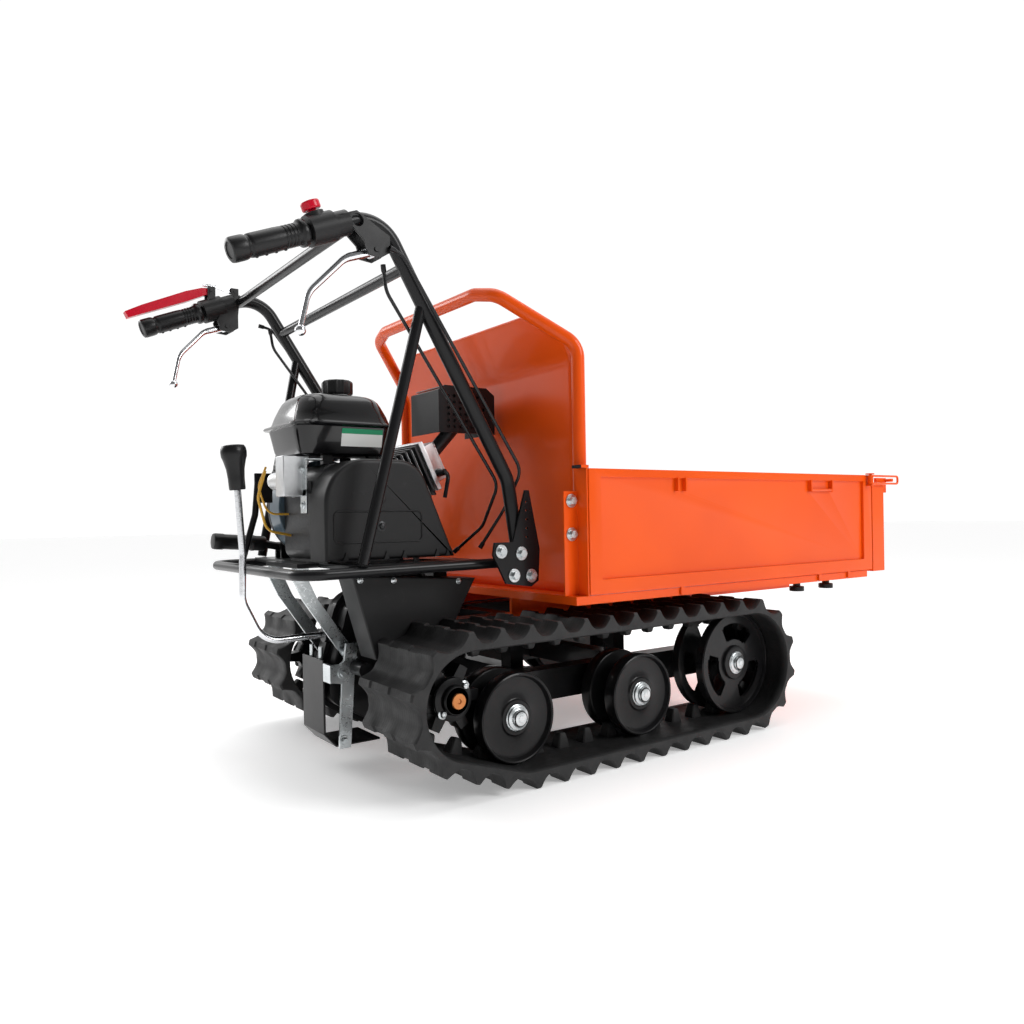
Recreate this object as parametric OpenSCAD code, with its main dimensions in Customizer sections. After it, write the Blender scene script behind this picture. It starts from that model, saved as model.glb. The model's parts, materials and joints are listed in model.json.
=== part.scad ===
// Tracked power wheelbarrow: rubber-tracked undercarriage, engine unit, handlebars and tipping bed.
// +X points to the front of the bed, +Z is up, the origin is on the ground under the middle.

/* [Tracks] */
// Width of each rubber track
track_w = 180; // [150:2:220]
// From the middle plane to the inner face of each track
track_in = 186; // [172:1:250]
// Thickness of the rubber belt
belt_t = 12; // [8:1:16]
// Height of the tread lugs
lug_h = 20; // [12:1:26]
// Wanted pitch of the tread lugs, rounded so that a whole number fits the loop
lug_pitch = 60; // [45:1:75]
// Height of the drive lugs on the inside of the belt
guide_h = 25; // [18:1:26]

/* [Wheels] */
// Radius that the belt takes around the drive sprocket
sprocket_seat_r = 87; // [84:1:100]
// Height of the sprocket axis above the belt's lower run
sprocket_rise = 125; // [110:1:145]
// Radius of the road wheels
wheel_r = 79; // [68:1:90]
// Radius of the idler wheels
idler_r = 107; // [90:1:115]
// Distance between the two road wheels
wheel_gap = 302; // [250:1:310]
// Distance from the front road wheel to the idler
idler_gap = 284; // [250:1:340]
// Distance from the rear road wheel back to the sprocket
sprocket_gap = 122; // [112:1:150]
// Radius of the wheel axles
axle_r = 10; // [8:0.5:12]

/* [Bed] */
// Length of the bed's side panels
bed_l = 908; // [760:1:1100]
// Outer width over the side panels
bed_w = 718; // [660:1:820]
// Height of the side panels
panel_h = 225; // [180:1:300]
// Thickness of the side panels
panel_t = 28; // [20:1:34]
// Thickness of the pressed sheet in the panels
sheet_t = 3; // [2:0.5:5]
// Thickness of the front gate
gate_t = 50; // [30:1:60]
// Height of the top of the headboard tube above the bed floor
headboard_h = 574; // [500:1:640]
// Radius of the headboard tube
headboard_r = 12.5; // [10:0.5:15]

/* [Handlebars] */
// Radius of the main handlebar tubes
bar_r = 12.5; // [10:0.5:14]
// Distance of each grip from the centre plane
grip_y = 277; // [250:1:300]
// Height of the bend in the handlebars
bar_top = 944; // [880:1:1000]
// Length of the rubber grips
grip_l = 125; // [110:1:140]
// Outer radius of the rubber grips
grip_r = 18.5; // [16:0.5:21]

/* [Engine] */
// Length of the fuel tank
tank_l = 200; // [170:1:220]
// Width of the fuel tank
tank_w = 180; // [150:1:200]
// Height of the fuel tank
tank_h = 118; // [95:1:125]
// Radius of the engine pulley
engine_pulley_r = 38; // [30:1:44]
// Radius of the gearbox pulley
gearbox_pulley_r = 52; // [46:1:56]

/* [Fits] */
// Radial clearance of a shaft in its bore
run_gap = 0.05; // [0.02:0.01:0.1]
// Gap between a rolling wheel and the belt
roll_gap = 0.6; // [0.4:0.1:1.5]
// Gap between sliding or tipping parts that pass each other
pass_gap = 1; // [0.5:0.25:2]

/* [Hidden] */
track_y = track_in + track_w / 2;
$fn = 48;
side = [-1, 1];

// Undercarriage stations, measured along X and up from the ground
ground_run = lug_h + belt_t;
front_wheel_x = -14;
rear_wheel_x = front_wheel_x - wheel_gap;
idler_x = front_wheel_x + idler_gap;
sprocket_x = rear_wheel_x - sprocket_gap;
sprocket_z = ground_run + sprocket_rise;
wheel_z = ground_run + wheel_r;
idler_z = ground_run + idler_r;
disc_y = 46;
rim_w = 28;
guide_w = 24;
beam_y = track_y - disc_y - rim_w / 2 - 28;
beam_w = 40;
beam_h = 60;
beam_z = 130;
beam_front = 300;
stub_end = 42;

// Circles that the belt wraps, in order around the loop: [x, z, radius]
wraps = [[idler_x, idler_z, idler_r], [sprocket_x, sprocket_z, sprocket_seat_r],
         [rear_wheel_x, wheel_z, wheel_r]];
function nxt(i) = (i + 1) % len(wraps);
function prv(i) = (i + len(wraps) - 1) % len(wraps);
function span(i) = [wraps[nxt(i)].x - wraps[i].x, wraps[nxt(i)].y - wraps[i].y];
// Outward direction of the straight run that leaves wrap i
function run_dir(i) =
    atan2(span(i).y, span(i).x) - 90 + asin((wraps[i].z - wraps[nxt(i)].z) / norm(span(i)));
function wrap_turn(i) = (run_dir(i) - run_dir(prv(i)) + 720) % 360;
function arc_len(i, h) = (wraps[i].z + h) * wrap_turn(i) * PI / 180;
function run_len(i) = sqrt(norm(span(i)) ^ 2 - (wraps[i].z - wraps[nxt(i)].z) ^ 2);
function ahead(i, h) = i == 0 ? 0 : ahead(i - 1, h) + arc_len(i - 1, h) + run_len(i - 1);
pitch_h = belt_t / 2;
loop_len = ahead(2, pitch_h) + arc_len(2, pitch_h) + run_len(2);
lug_n = round(loop_len / lug_pitch);
lug_step = loop_len / lug_n;
// Point at distance s along the belt's middle line and height h above its inner face
function belt_point(s, h, i = 0) =
    let (t = s - ahead(i, pitch_h), a = arc_len(i, pitch_h), r = run_len(i))
    t > a + r && i < 2 ? belt_point(s, h, i + 1)
    : let (dir = t < a ? run_dir(prv(i)) + wrap_turn(i) * t / a : run_dir(i),
           n = [cos(dir), sin(dir)],
           c = [wraps[i].x, wraps[i].y])
      c + n * (wraps[i].z + h) + [-n.y, n.x] * max(t - a, 0);

// Bed stations
floor_top = 314;
floor_t = 3;
lip_h = 12;
bed_rear = -180;
bed_front = bed_rear + bed_l;
panel_y = bed_w / 2;
panel_z = floor_top + 2;
panel_top = panel_z + panel_h;
lip_y = panel_y - 4;
bed_tail = bed_rear - 30;
gate_x = bed_front + 4;
gate_h = panel_h - 16;
gate_z = floor_top - 3;
hinge_r = 8;
gate_hinge_x = gate_x + 12;
gate_hinge_z = gate_z - hinge_r - 4;
tip_x = 340;
tip_z = 272;
tip_pin_r = 10;
bar_w = 9;
bar_z = floor_top - floor_t - pass_gap - bar_w;
bar_in = 190;
sleeve_w = bar_w + 2 * pass_gap;
sleeve_t = 2;
sleeve_l = 70;
bar_x = [60, 515, 630];
knob_x = [515, 630];
knob_y = panel_y - 60;
rail_y = 105;
rail_w = 40;
rail_top = 262;
rail_rear = -430;
rail_front = 410;
bed_rail_y = 150;

// Headboard stations
post_x = bed_rear + 18;
post_y = panel_y - panel_t - 3.5 - headboard_r;
fold_z = floor_top + headboard_h - 143;
head_top = floor_top + headboard_h;
head_x = post_x - 130;
head_y = 215;
sheet_top = head_top - 53;
sheet_lean = 29;

// Handlebar stations
bar_foot = [-255, 255, 352];
bar_kink = [-280, 252, 524];
grip_slope = 22;
grip_dir = [-cos(grip_slope), 0, -sin(grip_slope)];
bar_bend = [-546, grip_y, bar_top];
grip_start = bar_bend + grip_dir * 137;
bar_end = grip_start + grip_dir * (grip_l - 4);
brace_r = 9.5;
deck_z = 378;
rail_z = 370;
deck_y = 235;
deck_rear = -670;
deck_r = 9;
gusset_y = bar_foot.y + bar_r;
gusset_t = 5;

// Engine and gearbox stations
engine_y = -35;
crank = [-500, 480];
input_shaft = [-445, 296];
cover_in = -125;
cover_out = -190;
cover_t = 4;
belt_y = -158;
belt_w = 13;
gearbox_y = -28;
tank_x = -527;
tank_z = 572;
cap_r = 29;
bore_angle = 26;

orange = [0.93, 0.33, 0.06];
black = [0.10, 0.10, 0.11];
rubber = [0.07, 0.07, 0.07];
zinc = [0.70, 0.72, 0.72];
alloy = [0.80, 0.80, 0.82];
crimson = [0.75, 0.03, 0.08];

// ---- Shared shapes ----
function unit(v) = v / norm(v);

// Straight round bar from a to b
module rod(a, b, r) {
    d = b - a;
    translate(a) rotate([0, acos(d.z / norm(d)), atan2(d.y, d.x)]) cylinder(h = norm(d), r = r);
}

// Path through the points p with its corners rounded at the bend radius
function rounded(p, bend, steps) = [for (i = [0 : len(p) - 1])
    let (u = i == 0 ? [0, 0, 0] : unit(p[i] - p[i - 1]),
         w = i == len(p) - 1 ? [0, 0, 0] : unit(p[i + 1] - p[i]),
         turn = i == 0 || i == len(p) - 1 ? 0 : acos(min(1, u * w)),
         inward = turn < 1 ? [0, 0, 0] : unit(w - u * (u * w)))
    each turn < 1 ? [p[i]] : [for (k = [0 : steps]) let (a = turn * k / steps)
        p[i] - u * bend * tan(turn / 2) + bend * (sin(a) * u + (1 - cos(a)) * inward)]];
function heading(q, i) = unit(q[min(i + 1, len(q) - 1)] - q[max(i - 1, 0)]);
function square_to(v, t) = unit(v - t * (v * t));

// Round tube along the points p: rings of points, each carried on from the last without twist
module tube_run(p, r, bend, sides = 16, steps = 5) {
    q = rounded(p, bend, steps);
    n = len(q);
    first = square_to([0.31, 0.22, 0.92], heading(q, 0));
    ups = [for (i = 0, v = first; i < n; i = i + 1, v = i < n ? square_to(v, heading(q, i)) : v) v];
    rings = [for (i = [0 : n - 1]) let (t = heading(q, i), v = ups[i], h = cross(t, v))
        each [for (k = [0 : sides - 1]) q[i] + r * (cos(360 * k / sides) * v + sin(360 * k / sides) * h)]];
    walls = [for (i = [0 : n - 2], k = [0 : sides - 1]) let (m = (k + 1) % sides)
        each [[i * sides + k, (i + 1) * sides + m, i * sides + m], [i * sides + k, (i + 1) * sides + k, (i + 1) * sides + m]]];
    polyhedron(rings, concat([[for (k = [0 : sides - 1]) k]], walls, [[for (k = [sides - 1 : -1 : 0]) (n - 1) * sides + k]]), convexity = 6);
}

// Cylinder along Y from y0 to y1 with its axis at [x, z]
module across(c, y0, y1, r) {
    translate([c[0], max(y0, y1), c[1]]) rotate([90, 0, 0]) cylinder(h = abs(y1 - y0), r = r);
}

// Outline in X and Z, extruded from y0 to y1
module slab(y0, y1) {
    translate([0, max(y0, y1), 0]) rotate([90, 0, 0]) linear_extrude(abs(y1 - y0)) children();
}

// Box between two corners
module block(a, b) {
    translate([min(a.x, b.x), min(a.y, b.y), min(a.z, b.z)])
        cube([abs(b.x - a.x), abs(b.y - a.y), abs(b.z - a.z)]);
}

// Rectangle with round corners, from corner a to corner b
module round_rect(a, b, r) {
    corners = [[b.x - r, b.y - r, 0], [a.x + r, b.y - r, 90], [a.x + r, a.y + r, 180], [b.x - r, a.y + r, 270]];
    polygon([for (c = corners, t = [0 : 15 : 90]) [c.x, c.y] + r * [cos(c.z + t), sin(c.z + t)]]);
}

module left() { mirror([0, 1, 0]) children(); }

// Hexagon bolt head with washer, its axis along +Y from the face y, pointing to dir
module bolt_y(c, y, dir, r = 6) {
    across(c, y, y + dir * 2, r * 1.9);
    translate([c[0], y + dir * 2, c[1]]) rotate([-90 * dir, 0, 0]) cylinder(h = r * 1.1, r = r * 1.15, $fn = 6);
}

// ---- Undercarriage ----
module chassis_frame() color(black) difference() {
    chassis_body();
    across([tip_x, tip_z], -rail_y - rail_w, rail_y + rail_w, tip_pin_r);
}
module chassis_body() {
    for (s = side) {
        block([rail_rear, s * rail_y - rail_w / 2, rail_top - rail_w], [rail_front, s * rail_y + rail_w / 2, rail_top]);
        // Ear that carries the bed's tipping pin
        block([tip_x - 22, s * rail_y - rail_w / 2, rail_top], [tip_x + 22, s * rail_y - rail_w / 2 + 8, tip_z + 18]);
        block([tip_x - 22, s * rail_y + rail_w / 2 - 8, rail_top], [tip_x + 22, s * rail_y + rail_w / 2, tip_z + 18]);
    }
    for (x = [rail_front - 20, 60, -165])
        block([x - 18, -rail_y, rail_top - rail_w + 3], [x + 18, rail_y, rail_top - 3]);
    // Cross tubes and posts down to the track beams
    for (x = [120, -165]) {
        block([x - 22, -beam_y, beam_z - 22], [x + 22, beam_y, beam_z + 22]);
        for (s = side)
            block([x - 16, s * rail_y - 16, beam_z], [x + 16, s * rail_y + 16, rail_top - rail_w / 2]);
    }
    // Engine deck between the rear rail ends and the side rails
    difference() {
        block([-625, -deck_y + 12, deck_z - 4], [-330, deck_y - 12, deck_z + 4]);
        // Slot for the drive belt, and the cut-away rear corners
        block([-562, cover_out - 1, deck_z - 5], [-384, cover_in - 1, deck_z + 5]);
        block([-626, -deck_y, deck_z - 5], [-585, strap_y[0] - 18, deck_z + 5]);
        block([-626, strap_y[1] + 18, deck_z - 5], [-585, deck_y, deck_z + 5]);
    }
    // Ears and pin of the tipping lever
    for (y = [tip_lever_y - 17, tip_lever_y + 12])
        block([tip_lever_pivot.x - 11, y, deck_z], [tip_lever_pivot.x + 11, y + 5, tip_lever_pivot.y + 10]);
    across(tip_lever_pivot, tip_lever_y - 18, tip_lever_y + 18, 5);
    for (s = side) {
        block([rail_rear, s * rail_y - 16, rail_top - 20], [rail_rear + 40, s * rail_y + 16, deck_z]);
        block([-360, s * rail_y - 16, rail_top - 20], [-330, s * rail_y + 16, deck_z]);
    }
}

module tip_pins() color(zinc) for (s = side)
    across([tip_x, tip_z], s * rail_y - rail_w / 2 - 6, s * rail_y + rail_w / 2 + 6, tip_pin_r);

module axle(x, z) {
    across([x, z], -beam_y + 1, -track_y - stub_end, axle_r);
    across([x, z], -track_y - stub_end, -track_y - stub_end - 3, axle_r * 1.9);
    across([x, z], -track_y - stub_end - 3, -track_y - stub_end - 10, axle_r * 1.35);
}

module beam() difference() {
    union() {
        block([sprocket_x - 30, -beam_y - beam_w / 2, beam_z - beam_h / 2], [beam_front, -beam_y + beam_w / 2, beam_z + beam_h / 2]);
        axle(front_wheel_x, wheel_z);
        axle(rear_wheel_x, wheel_z);
        axle(idler_x, idler_z);
    }
    across([sprocket_x, sprocket_z], -beam_y - beam_w, -beam_y + beam_w, housing_r + 0.5);
    for (x = [120, -165])
        block([x - 23, -beam_y - 1, beam_z - 23], [x + 23, -beam_y + beam_w, beam_z + 23]);
}

module track_beams() color(black) {
    beam();
    left() beam();
}

function ring(h, step) = [for (k = [0 : round(loop_len / step) - 1]) belt_point(k * loop_len / round(loop_len / step), h)];
// Outline of the tread: each lug has a broad foot and a narrow crown
function tread() = [for (k = [0 : lug_n - 1], q = [[-25, 0], [-15, 0.3], [-7, 1], [7, 1], [15, 0.3], [25, 0]])
    belt_point((k + 0.5) * lug_step + q[0], belt_t + q[1] * lug_h)];
// Outline of the drive lugs, tapering towards the inside of the loop
function drive() = [for (k = [0 : lug_n - 1], q = [[-14, -1], [-7, guide_h], [7, guide_h], [14, -1]])
    belt_point((k + 0.5) * lug_step + q[0], -q[1])];

module track() color(rubber) {
    slab(-track_y - track_w / 2, -track_y + track_w / 2) difference() {
        polygon(tread());
        polygon(ring(0, 10));
    }
    slab(-track_y - guide_w / 2, -track_y + guide_w / 2) difference() {
        polygon(ring(belt_t / 2, 20));
        polygon(drive());
    }
}
module right_track() track();
module left_track() left() track();

// Pair of dished discs on one hub, turning on its axle
module road_wheel(x) color(black) difference() {
    union() {
        for (y = [-track_y - disc_y, -track_y + disc_y - rim_w]) {
            difference() {
                across([x, wheel_z], y, y + rim_w, wheel_r - roll_gap);
                across([x, wheel_z], y - 1, y + rim_w - 6, wheel_r - roll_gap - 5);
            }
        }
        across([x, wheel_z], -track_y - disc_y + 6, -track_y + disc_y - 2, axle_r + 12);
    }
    across([x, wheel_z], -track_y - disc_y - 1, -track_y + disc_y + 1, axle_r + run_gap);
}
module right_rear_wheel() road_wheel(rear_wheel_x);
module right_front_wheel() road_wheel(front_wheel_x);
module left_rear_wheel() left() road_wheel(rear_wheel_x);
module left_front_wheel() left() road_wheel(front_wheel_x);

// Pair of spoked rims on one hub
module idler() color(black) difference() {
    union() {
        for (y = [-track_y - disc_y + 4, -track_y + disc_y - 26]) {
            difference() {
                across([idler_x, idler_z], y, y + 22, idler_r - roll_gap);
                across([idler_x, idler_z], y - 1, y + 23, idler_r - 17);
            }
            for (a = [90 : 120 : 330])
                translate([idler_x, 0, idler_z]) rotate([0, a, 0])
                    block([axle_r + 10, y + 4, -16], [idler_r - 14, y + 18, 16]);
        }
        across([idler_x, idler_z], -track_y - disc_y + 6, -track_y + disc_y - 2, axle_r + 18);
    }
    across([idler_x, idler_z], -track_y - disc_y - 1, -track_y + disc_y + 1, axle_r + run_gap);
}
module right_idler() idler();
module left_idler() left() idler();

// Star wheel that drives the lugs, on its own half shaft
shaft_r = 13;
housing_r = 30;
star_r = sprocket_seat_r - guide_h - 3;
module sprocket() color(black) {
    slab(-track_y - 16, -track_y + 16) translate([sprocket_x, sprocket_z])
        polygon([for (k = [0 : 5], q = [[-14, 0.62], [-7, 1], [7, 1], [14, 0.62]])
            star_r * q[1] * [cos(60 * k + q[0] * 1.2), sin(60 * k + q[0] * 1.2)]]);
    across([sprocket_x, sprocket_z], -track_y - 40, -track_y + 30, shaft_r + 10);
    across([sprocket_x, sprocket_z], -2, -track_y - 44, shaft_r);
}
module right_sprocket() sprocket();
module left_sprocket() left() sprocket();

// ---- Gearbox and its guard ----
gearbox_half = 42;
module gearbox() color(black) difference() {
    union() {
        slab(gearbox_y - gearbox_half, gearbox_y + gearbox_half) hull() {
            translate([sprocket_x, sprocket_z]) circle(r = 82);
            translate([-515, 150]) circle(r = 38);
            translate([input_shaft.x - 20, input_shaft.y - 30]) circle(r = 56);
        }
        slab(gearbox_y - 7, gearbox_y + 7) hull() {
            translate([sprocket_x, sprocket_z]) circle(r = 92);
            translate([-515, 150]) circle(r = 48);
            translate([input_shaft.x - 20, input_shaft.y - 30]) circle(r = 66);
        }
        across([sprocket_x, sprocket_z], -beam_y - 18, beam_y + 18, housing_r);
        across([-518, 192], gearbox_y - gearbox_half, -146, 13);
        // Boss of the gear selector shaft
        translate([selector[0], gear_y, gear_z]) rotate([0, 90, 0]) cylinder(h = selector[1] - selector[0], r = 14);
        across(input_shaft, gearbox_y - gearbox_half, -84, 22);
    }
    across([sprocket_x, sprocket_z], -beam_y - 60, beam_y + 60, shaft_r + run_gap);
    across(input_shaft, gearbox_y - 10, -91, 11 + run_gap);
    translate([selector[0] - 1, gear_y, gear_z]) rotate([0, 90, 0]) cylinder(h = selector[1] - selector[0] - 10, r = 6 + run_gap);
}

guard_x = [-568, -455];
guard_z = [45, 205];
module gearbox_guard() color(black) {
    slab(gearbox_y - 47, gearbox_y + 47) difference() {
        polygon([[guard_x[0], guard_z[1]], [guard_x[0], guard_z[0] + 26], [guard_x[0] + 24, guard_z[0]],
                 [guard_x[1], guard_z[0]], [guard_x[1], guard_z[0] + 4], [guard_x[0] + 26, guard_z[0] + 4],
                 [guard_x[0] + 4, guard_z[0] + 28], [guard_x[0] + 4, guard_z[1]]]);
    }
}

strap_y = [gearbox_y - 58, gearbox_y + 58];
strap_top = [-612, 358];
module support_straps() color(zinc) {
    difference() {
        union() {
            for (y = strap_y) {
                slab(y - 2.5, y + 2.5) strap_outline();
                block([strap_top.x - 12, y - 10, deck_z - 8], [strap_top.x + 12, y + 10, deck_z - 4]);
            }
            // Plate that carries the guard's near edge
            slab(strap_y[0] - 20, strap_y[0] - 14) polygon([[-536, 236], [-512, 236], [-520, 190], [-530, 50], [-552, 50],
                [-546, 165], [-562, 168], [-562, 200], [-548, 200], [-540, 206]]);
            slab(strap_y[0] - 15, strap_y[0] + 1) round_rect([-536, 208], [-516, 224], 5);
        }
        across([-518, 192], strap_y[0] - 30, strap_y[1] + 30, 13);
        across(strap_top, strap_y[0] - 4, strap_y[1] + 4, 4);
    }
    block([-568, strap_y[0] - 20, 168], [-562, gearbox_y - 47, 200]);
}
// Flat strap, wider at its ends, from the deck down to the gearbox
module strap_outline() polygon([[-624, 374], [-600, 374], [-598, 352], [-582, 318], [-514, 222], [-506, 206], [-516, 198],
    [-530, 204], [-610, 318], [-626, 352]]);

// ---- Belt drive and covers ----
module arch_outline() polygon(concat([[-609, 388]],
    [for (t = [180 : -15 : 90]) [-531 + 78 * cos(t), 483 + 78 * sin(t)]],
    [[-460, 561], [-440, 557], [-424, 545], [-413, 526], [-408, 500], [-363, 408], [-355, 390], [-355, 388]]));
module upper_belt_cover() color(black) {
    difference() {
        slab(cover_in, cover_out) arch_outline();
        slab(cover_in - 3, cover_out + cover_t) offset(delta = -cover_t) arch_outline();
        across(crank, cover_in + 1, cover_in - 4, 24);
        // Open foot where the belt leaves
        block([-560, cover_in - 3, deck_z], [-385, cover_out + cover_t, deck_z + 20]);
    }
    // Raised round-cornered panel
    difference() {
        slab(cover_out, cover_out - 1.5) round_rect([-594, 418], [-425, 471], 9);
        slab(cover_out + 1, cover_out - 2) round_rect([-591, 421], [-428, 468], 7);
    }
    bolt_y([-505, 445], cover_out, -1, 5);
    across([-502, 491], cover_out, cover_out - 2, 6);
}

lower_outline = [[-560, 362], [-306, 345], [-392, 202], [-517, 215]];
lower_out = 2 - track_in;
module lower_belt_cover() color(black) difference() {
    slab(cover_in, lower_out) polygon(lower_outline);
    slab(cover_in - 3, lower_out + cover_t) offset(delta = -cover_t) polygon(lower_outline);
    across(input_shaft, cover_in + 1, cover_in - 4, 24);
    block([-545, cover_in - 3, 336], [-345, lower_out + cover_t, 366]);
}

module pulley(c, r) difference() {
    union() {
        across(c, belt_y - 9, belt_y - 7, r + 3);
        across(c, belt_y - 7, belt_y + 7, r);
        across(c, belt_y + 7, belt_y + 9, r + 3);
        across(c, belt_y + 9, belt_y + 22, 18);
    }
    across(c, belt_y - 30, belt_y + 30, 9);
}
module engine_pulley() color(alloy) {
    pulley(crank, engine_pulley_r);
    across(crank, belt_y - 14, crank_face + 34, 9);
}
module gearbox_pulley() color(alloy) {
    pulley(input_shaft, gearbox_pulley_r);
    across(input_shaft, belt_y - 14, gearbox_y - 12, 9);
    across(input_shaft, belt_y + 22, gearbox_y - 12, 11);
}

module drive_belt() color(rubber) slab(belt_y - belt_w / 2 + 1, belt_y + belt_w / 2 - 1) difference() {
    hull() {
        translate(crank) circle(r = engine_pulley_r + 8);
        translate(input_shaft) circle(r = gearbox_pulley_r + 8);
    }
    hull() {
        translate(crank) circle(r = engine_pulley_r + roll_gap);
        translate(input_shaft) circle(r = gearbox_pulley_r + roll_gap);
    }
}

// ---- Engine ----
crank_face = -125;
module engine_block() color([0.35, 0.36, 0.37]) {
    difference() {
        union() {
            slab(crank_face, 52) round_rect([-585, deck_z + 4], [-415, 556], 24);
            // Finned cylinder, leaning forward
            translate([crank.x, 0, crank.y]) rotate([0, -bore_angle, 0]) {
                block([60, engine_y - 44, -36], [168, engine_y + 44, 40]);
                for (k = [0 : 6])
                    block([84 + k * 12, engine_y - 60, -52], [88 + k * 12, engine_y + 60, 50]);
            }
        }
        across(crank, crank_face - 1, -20, 9 + run_gap);
    }
    // Feet on the deck
    for (x = [-575, -445]) block([x, crank_face + 6, deck_z + 4], [x + 22, 46, deck_z + 12]);
}

module cylinder_head() color(alloy) translate([crank.x, 0, crank.y]) rotate([0, -bore_angle, 0]) {
    block([168, engine_y - 58, -48], [178, engine_y + 58, 52]);
    block([178, engine_y - 46, -36], [206, engine_y + 46, 40]);
    for (y = [-38, 38], z = [-28, 32])
        translate([206, engine_y + y, z]) rotate([0, 90, 0]) cylinder(h = 5, r = 6, $fn = 6);
}

muffler_box = [[-328, -100, 624], [-195, 5, 716]];
module muffler() color([0.3, 0.3, 0.3]) {
    block(muffler_box[0] + [14, 14, 10], muffler_box[1] - [14, 14, 12]);
    // Pipe down to the face of the cylinder head
    difference() {
        rod([-262, -48, 640], [-322, -40, 574], 14);
        translate([crank.x, 0, crank.y]) rotate([0, -bore_angle, 0])
            block([160, engine_y - 60, -60], [206, engine_y + 60, 60]);
    }
    across([-268, 670], muffler_box[1].y - 15, muffler_box[0].y + 3, 5);
}
// Perforated sheet around the muffler
module muffler_guard() color(black) difference() {
    slab(muffler_box[1].y, muffler_box[0].y) polygon([[muffler_box[0].x, muffler_box[0].z], [muffler_box[1].x, muffler_box[0].z],
        [muffler_box[1].x, muffler_box[1].z - 14], [muffler_box[1].x - 20, muffler_box[1].z], [muffler_box[0].x + 14, muffler_box[1].z], [muffler_box[0].x, muffler_box[1].z - 10]]);
    block(muffler_box[0] + [3, 3, -1], muffler_box[1] - [3, -1, 3]);
    for (i = [0 : 6], k = [0 : 5])
        across([muffler_box[0].x + 22 + i * 14, muffler_box[0].z + 12 + k * 12], muffler_box[0].y - 1, muffler_box[0].y + 4, 3.4);
}

module fuel_tank() color(black) {
    a = [tank_x - tank_l / 2, engine_y - tank_w / 2];
    b = [tank_x + tank_l / 2, engine_y + tank_w / 2];
    in = [12, 12];
    translate([0, 0, tank_z]) linear_extrude(tank_h * 0.44) round_rect(a + in / 2, b - in / 2, 26);
    translate([0, 0, tank_z + tank_h * 0.44]) linear_extrude(8) round_rect(a - in / 3, b + in / 3, 32);
    translate([0, 0, tank_z + tank_h * 0.44 + 8]) linear_extrude(tank_h * 0.3) round_rect(a + in / 2, b - in / 2, 28);
    translate([0, 0, tank_z + tank_h * 0.74 + 8]) linear_extrude(tank_h * 0.26 - 8) round_rect(a + 2 * in, b - 2 * in, 30);
    translate([tank_x + 16, engine_y, tank_z + tank_h - 1]) cylinder(h = 9, r = cap_r - 6);
    // Brackets down to the engine block
    for (y = [engine_y - 62, engine_y + 50], x = [-570, -480])
        block([x, y, 556], [x + 20, y + 12, tank_z + 1]);
}
module fuel_cap() color(black) translate([tank_x + 16, engine_y, tank_z + tank_h]) difference() {
    union() {
        translate([0, 0, pass_gap]) cylinder(h = 26, r = cap_r);
        for (k = [0 : 11]) rotate(k * 30) translate([cap_r - 1, -3, 5]) cube([3, 6, 18]);
    }
    translate([0, 0, -1]) cylinder(h = 11, r = cap_r - 6 + 0.3);
}

module carburettor() color(alloy) {
    block([-640, engine_y - 52, 556], [-592, engine_y - 14, 572 - 1]);
    block([-640, engine_y - 52, 500], [-600, engine_y - 14, 556]);
    block([-601, engine_y - 45, 505], [-585, engine_y - 20, 528]);
    across([-620, 530], engine_y - 14, engine_y + 40, 16);
}

// Round blower housing and its recoil cover on the far side of the engine
module fan_housing() color([0.25, 0.32, 0.38]) difference() {
    across(crank, 52, 104, 96);
    across(crank, 60, 105, 88);
}
module recoil_cover() color(black) difference() {
    union() {
        across(crank, 104, 112, 96);
        across(crank, 112, 134, 66);
        block([-580, 108, 500], [-552, 130, 556]);
    }
    translate([-566, 119, 540]) cylinder(h = 20, r = 4);
}
module starter_handle() color(black) {
    translate([-566, 119, 541]) cylinder(h = 19, r = 3);
    hull() for (y = [103, 135]) translate([-566, y, 566]) sphere(r = 8, $fn = 24);
}

module ignition_leads() color([0.85, 0.6, 0.15]) {
    tube_run([[-648, -20, 548], [-660, -12, 500], [-640, 0, 440], [-586, 20, 430]], 2.5, 14, 8, 3);
    tube_run([[-640, -2, 556], [-652, 8, 520], [-630, 20, 470], [-586, 30, 470]], 2, 14, 8, 3);
    translate([crank.x, 0, crank.y]) rotate([0, -bore_angle, 0])
        tube_run([[192, engine_y - 46, -20], [192, engine_y - 84, -20], [160, engine_y - 84, -60]], 4, 12, 8, 3);
}

// ---- Handlebars ----
module handle_tube(s) tube_run([for (p = [bar_foot, bar_kink, bar_bend, bar_end]) [p.x, s * p.y, p.z]], bar_r, 62);
function bar_at(z) = bar_kink + (bar_bend - bar_kink) * (z - bar_kink.z) / (bar_bend.z - bar_kink.z);
module handlebar_frame() color(black) {
    for (s = side) {
        handle_tube(s);
        // Stay from the handlebar down to the side rail
        rod([bar_at(815).x, s * (bar_at(815).y), 815], [-565, s * deck_y, deck_z + 4.5], brace_r);
    }
    rod([bar_at(868).x, -bar_at(868).y, 868], [bar_at(868).x, bar_at(868).y, 868], brace_r);
    rod([-592, -grip_y, 922], [-592, grip_y, 922], brace_r);
}

module gusset_plates() color(black) for (s = side)
    slab(s * gusset_y, s * (gusset_y + gusset_t)) difference() {
        polygon([[-255, 505], [-247, 505], [-224, 398], [-228, 340], [-245, 330], [-301, 338], [-329, 390], [-325, 412], [-285, 412]]);
        for (c = gusset_bolts) translate(c) circle(r = 4);
        for (z = [420 : 16 : 484]) translate([-253, z]) circle(r = 2.5);
    }
gusset_bolts = [[-312, 396], [-267, 391], [-284, 352], [-245, 350]];

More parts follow.
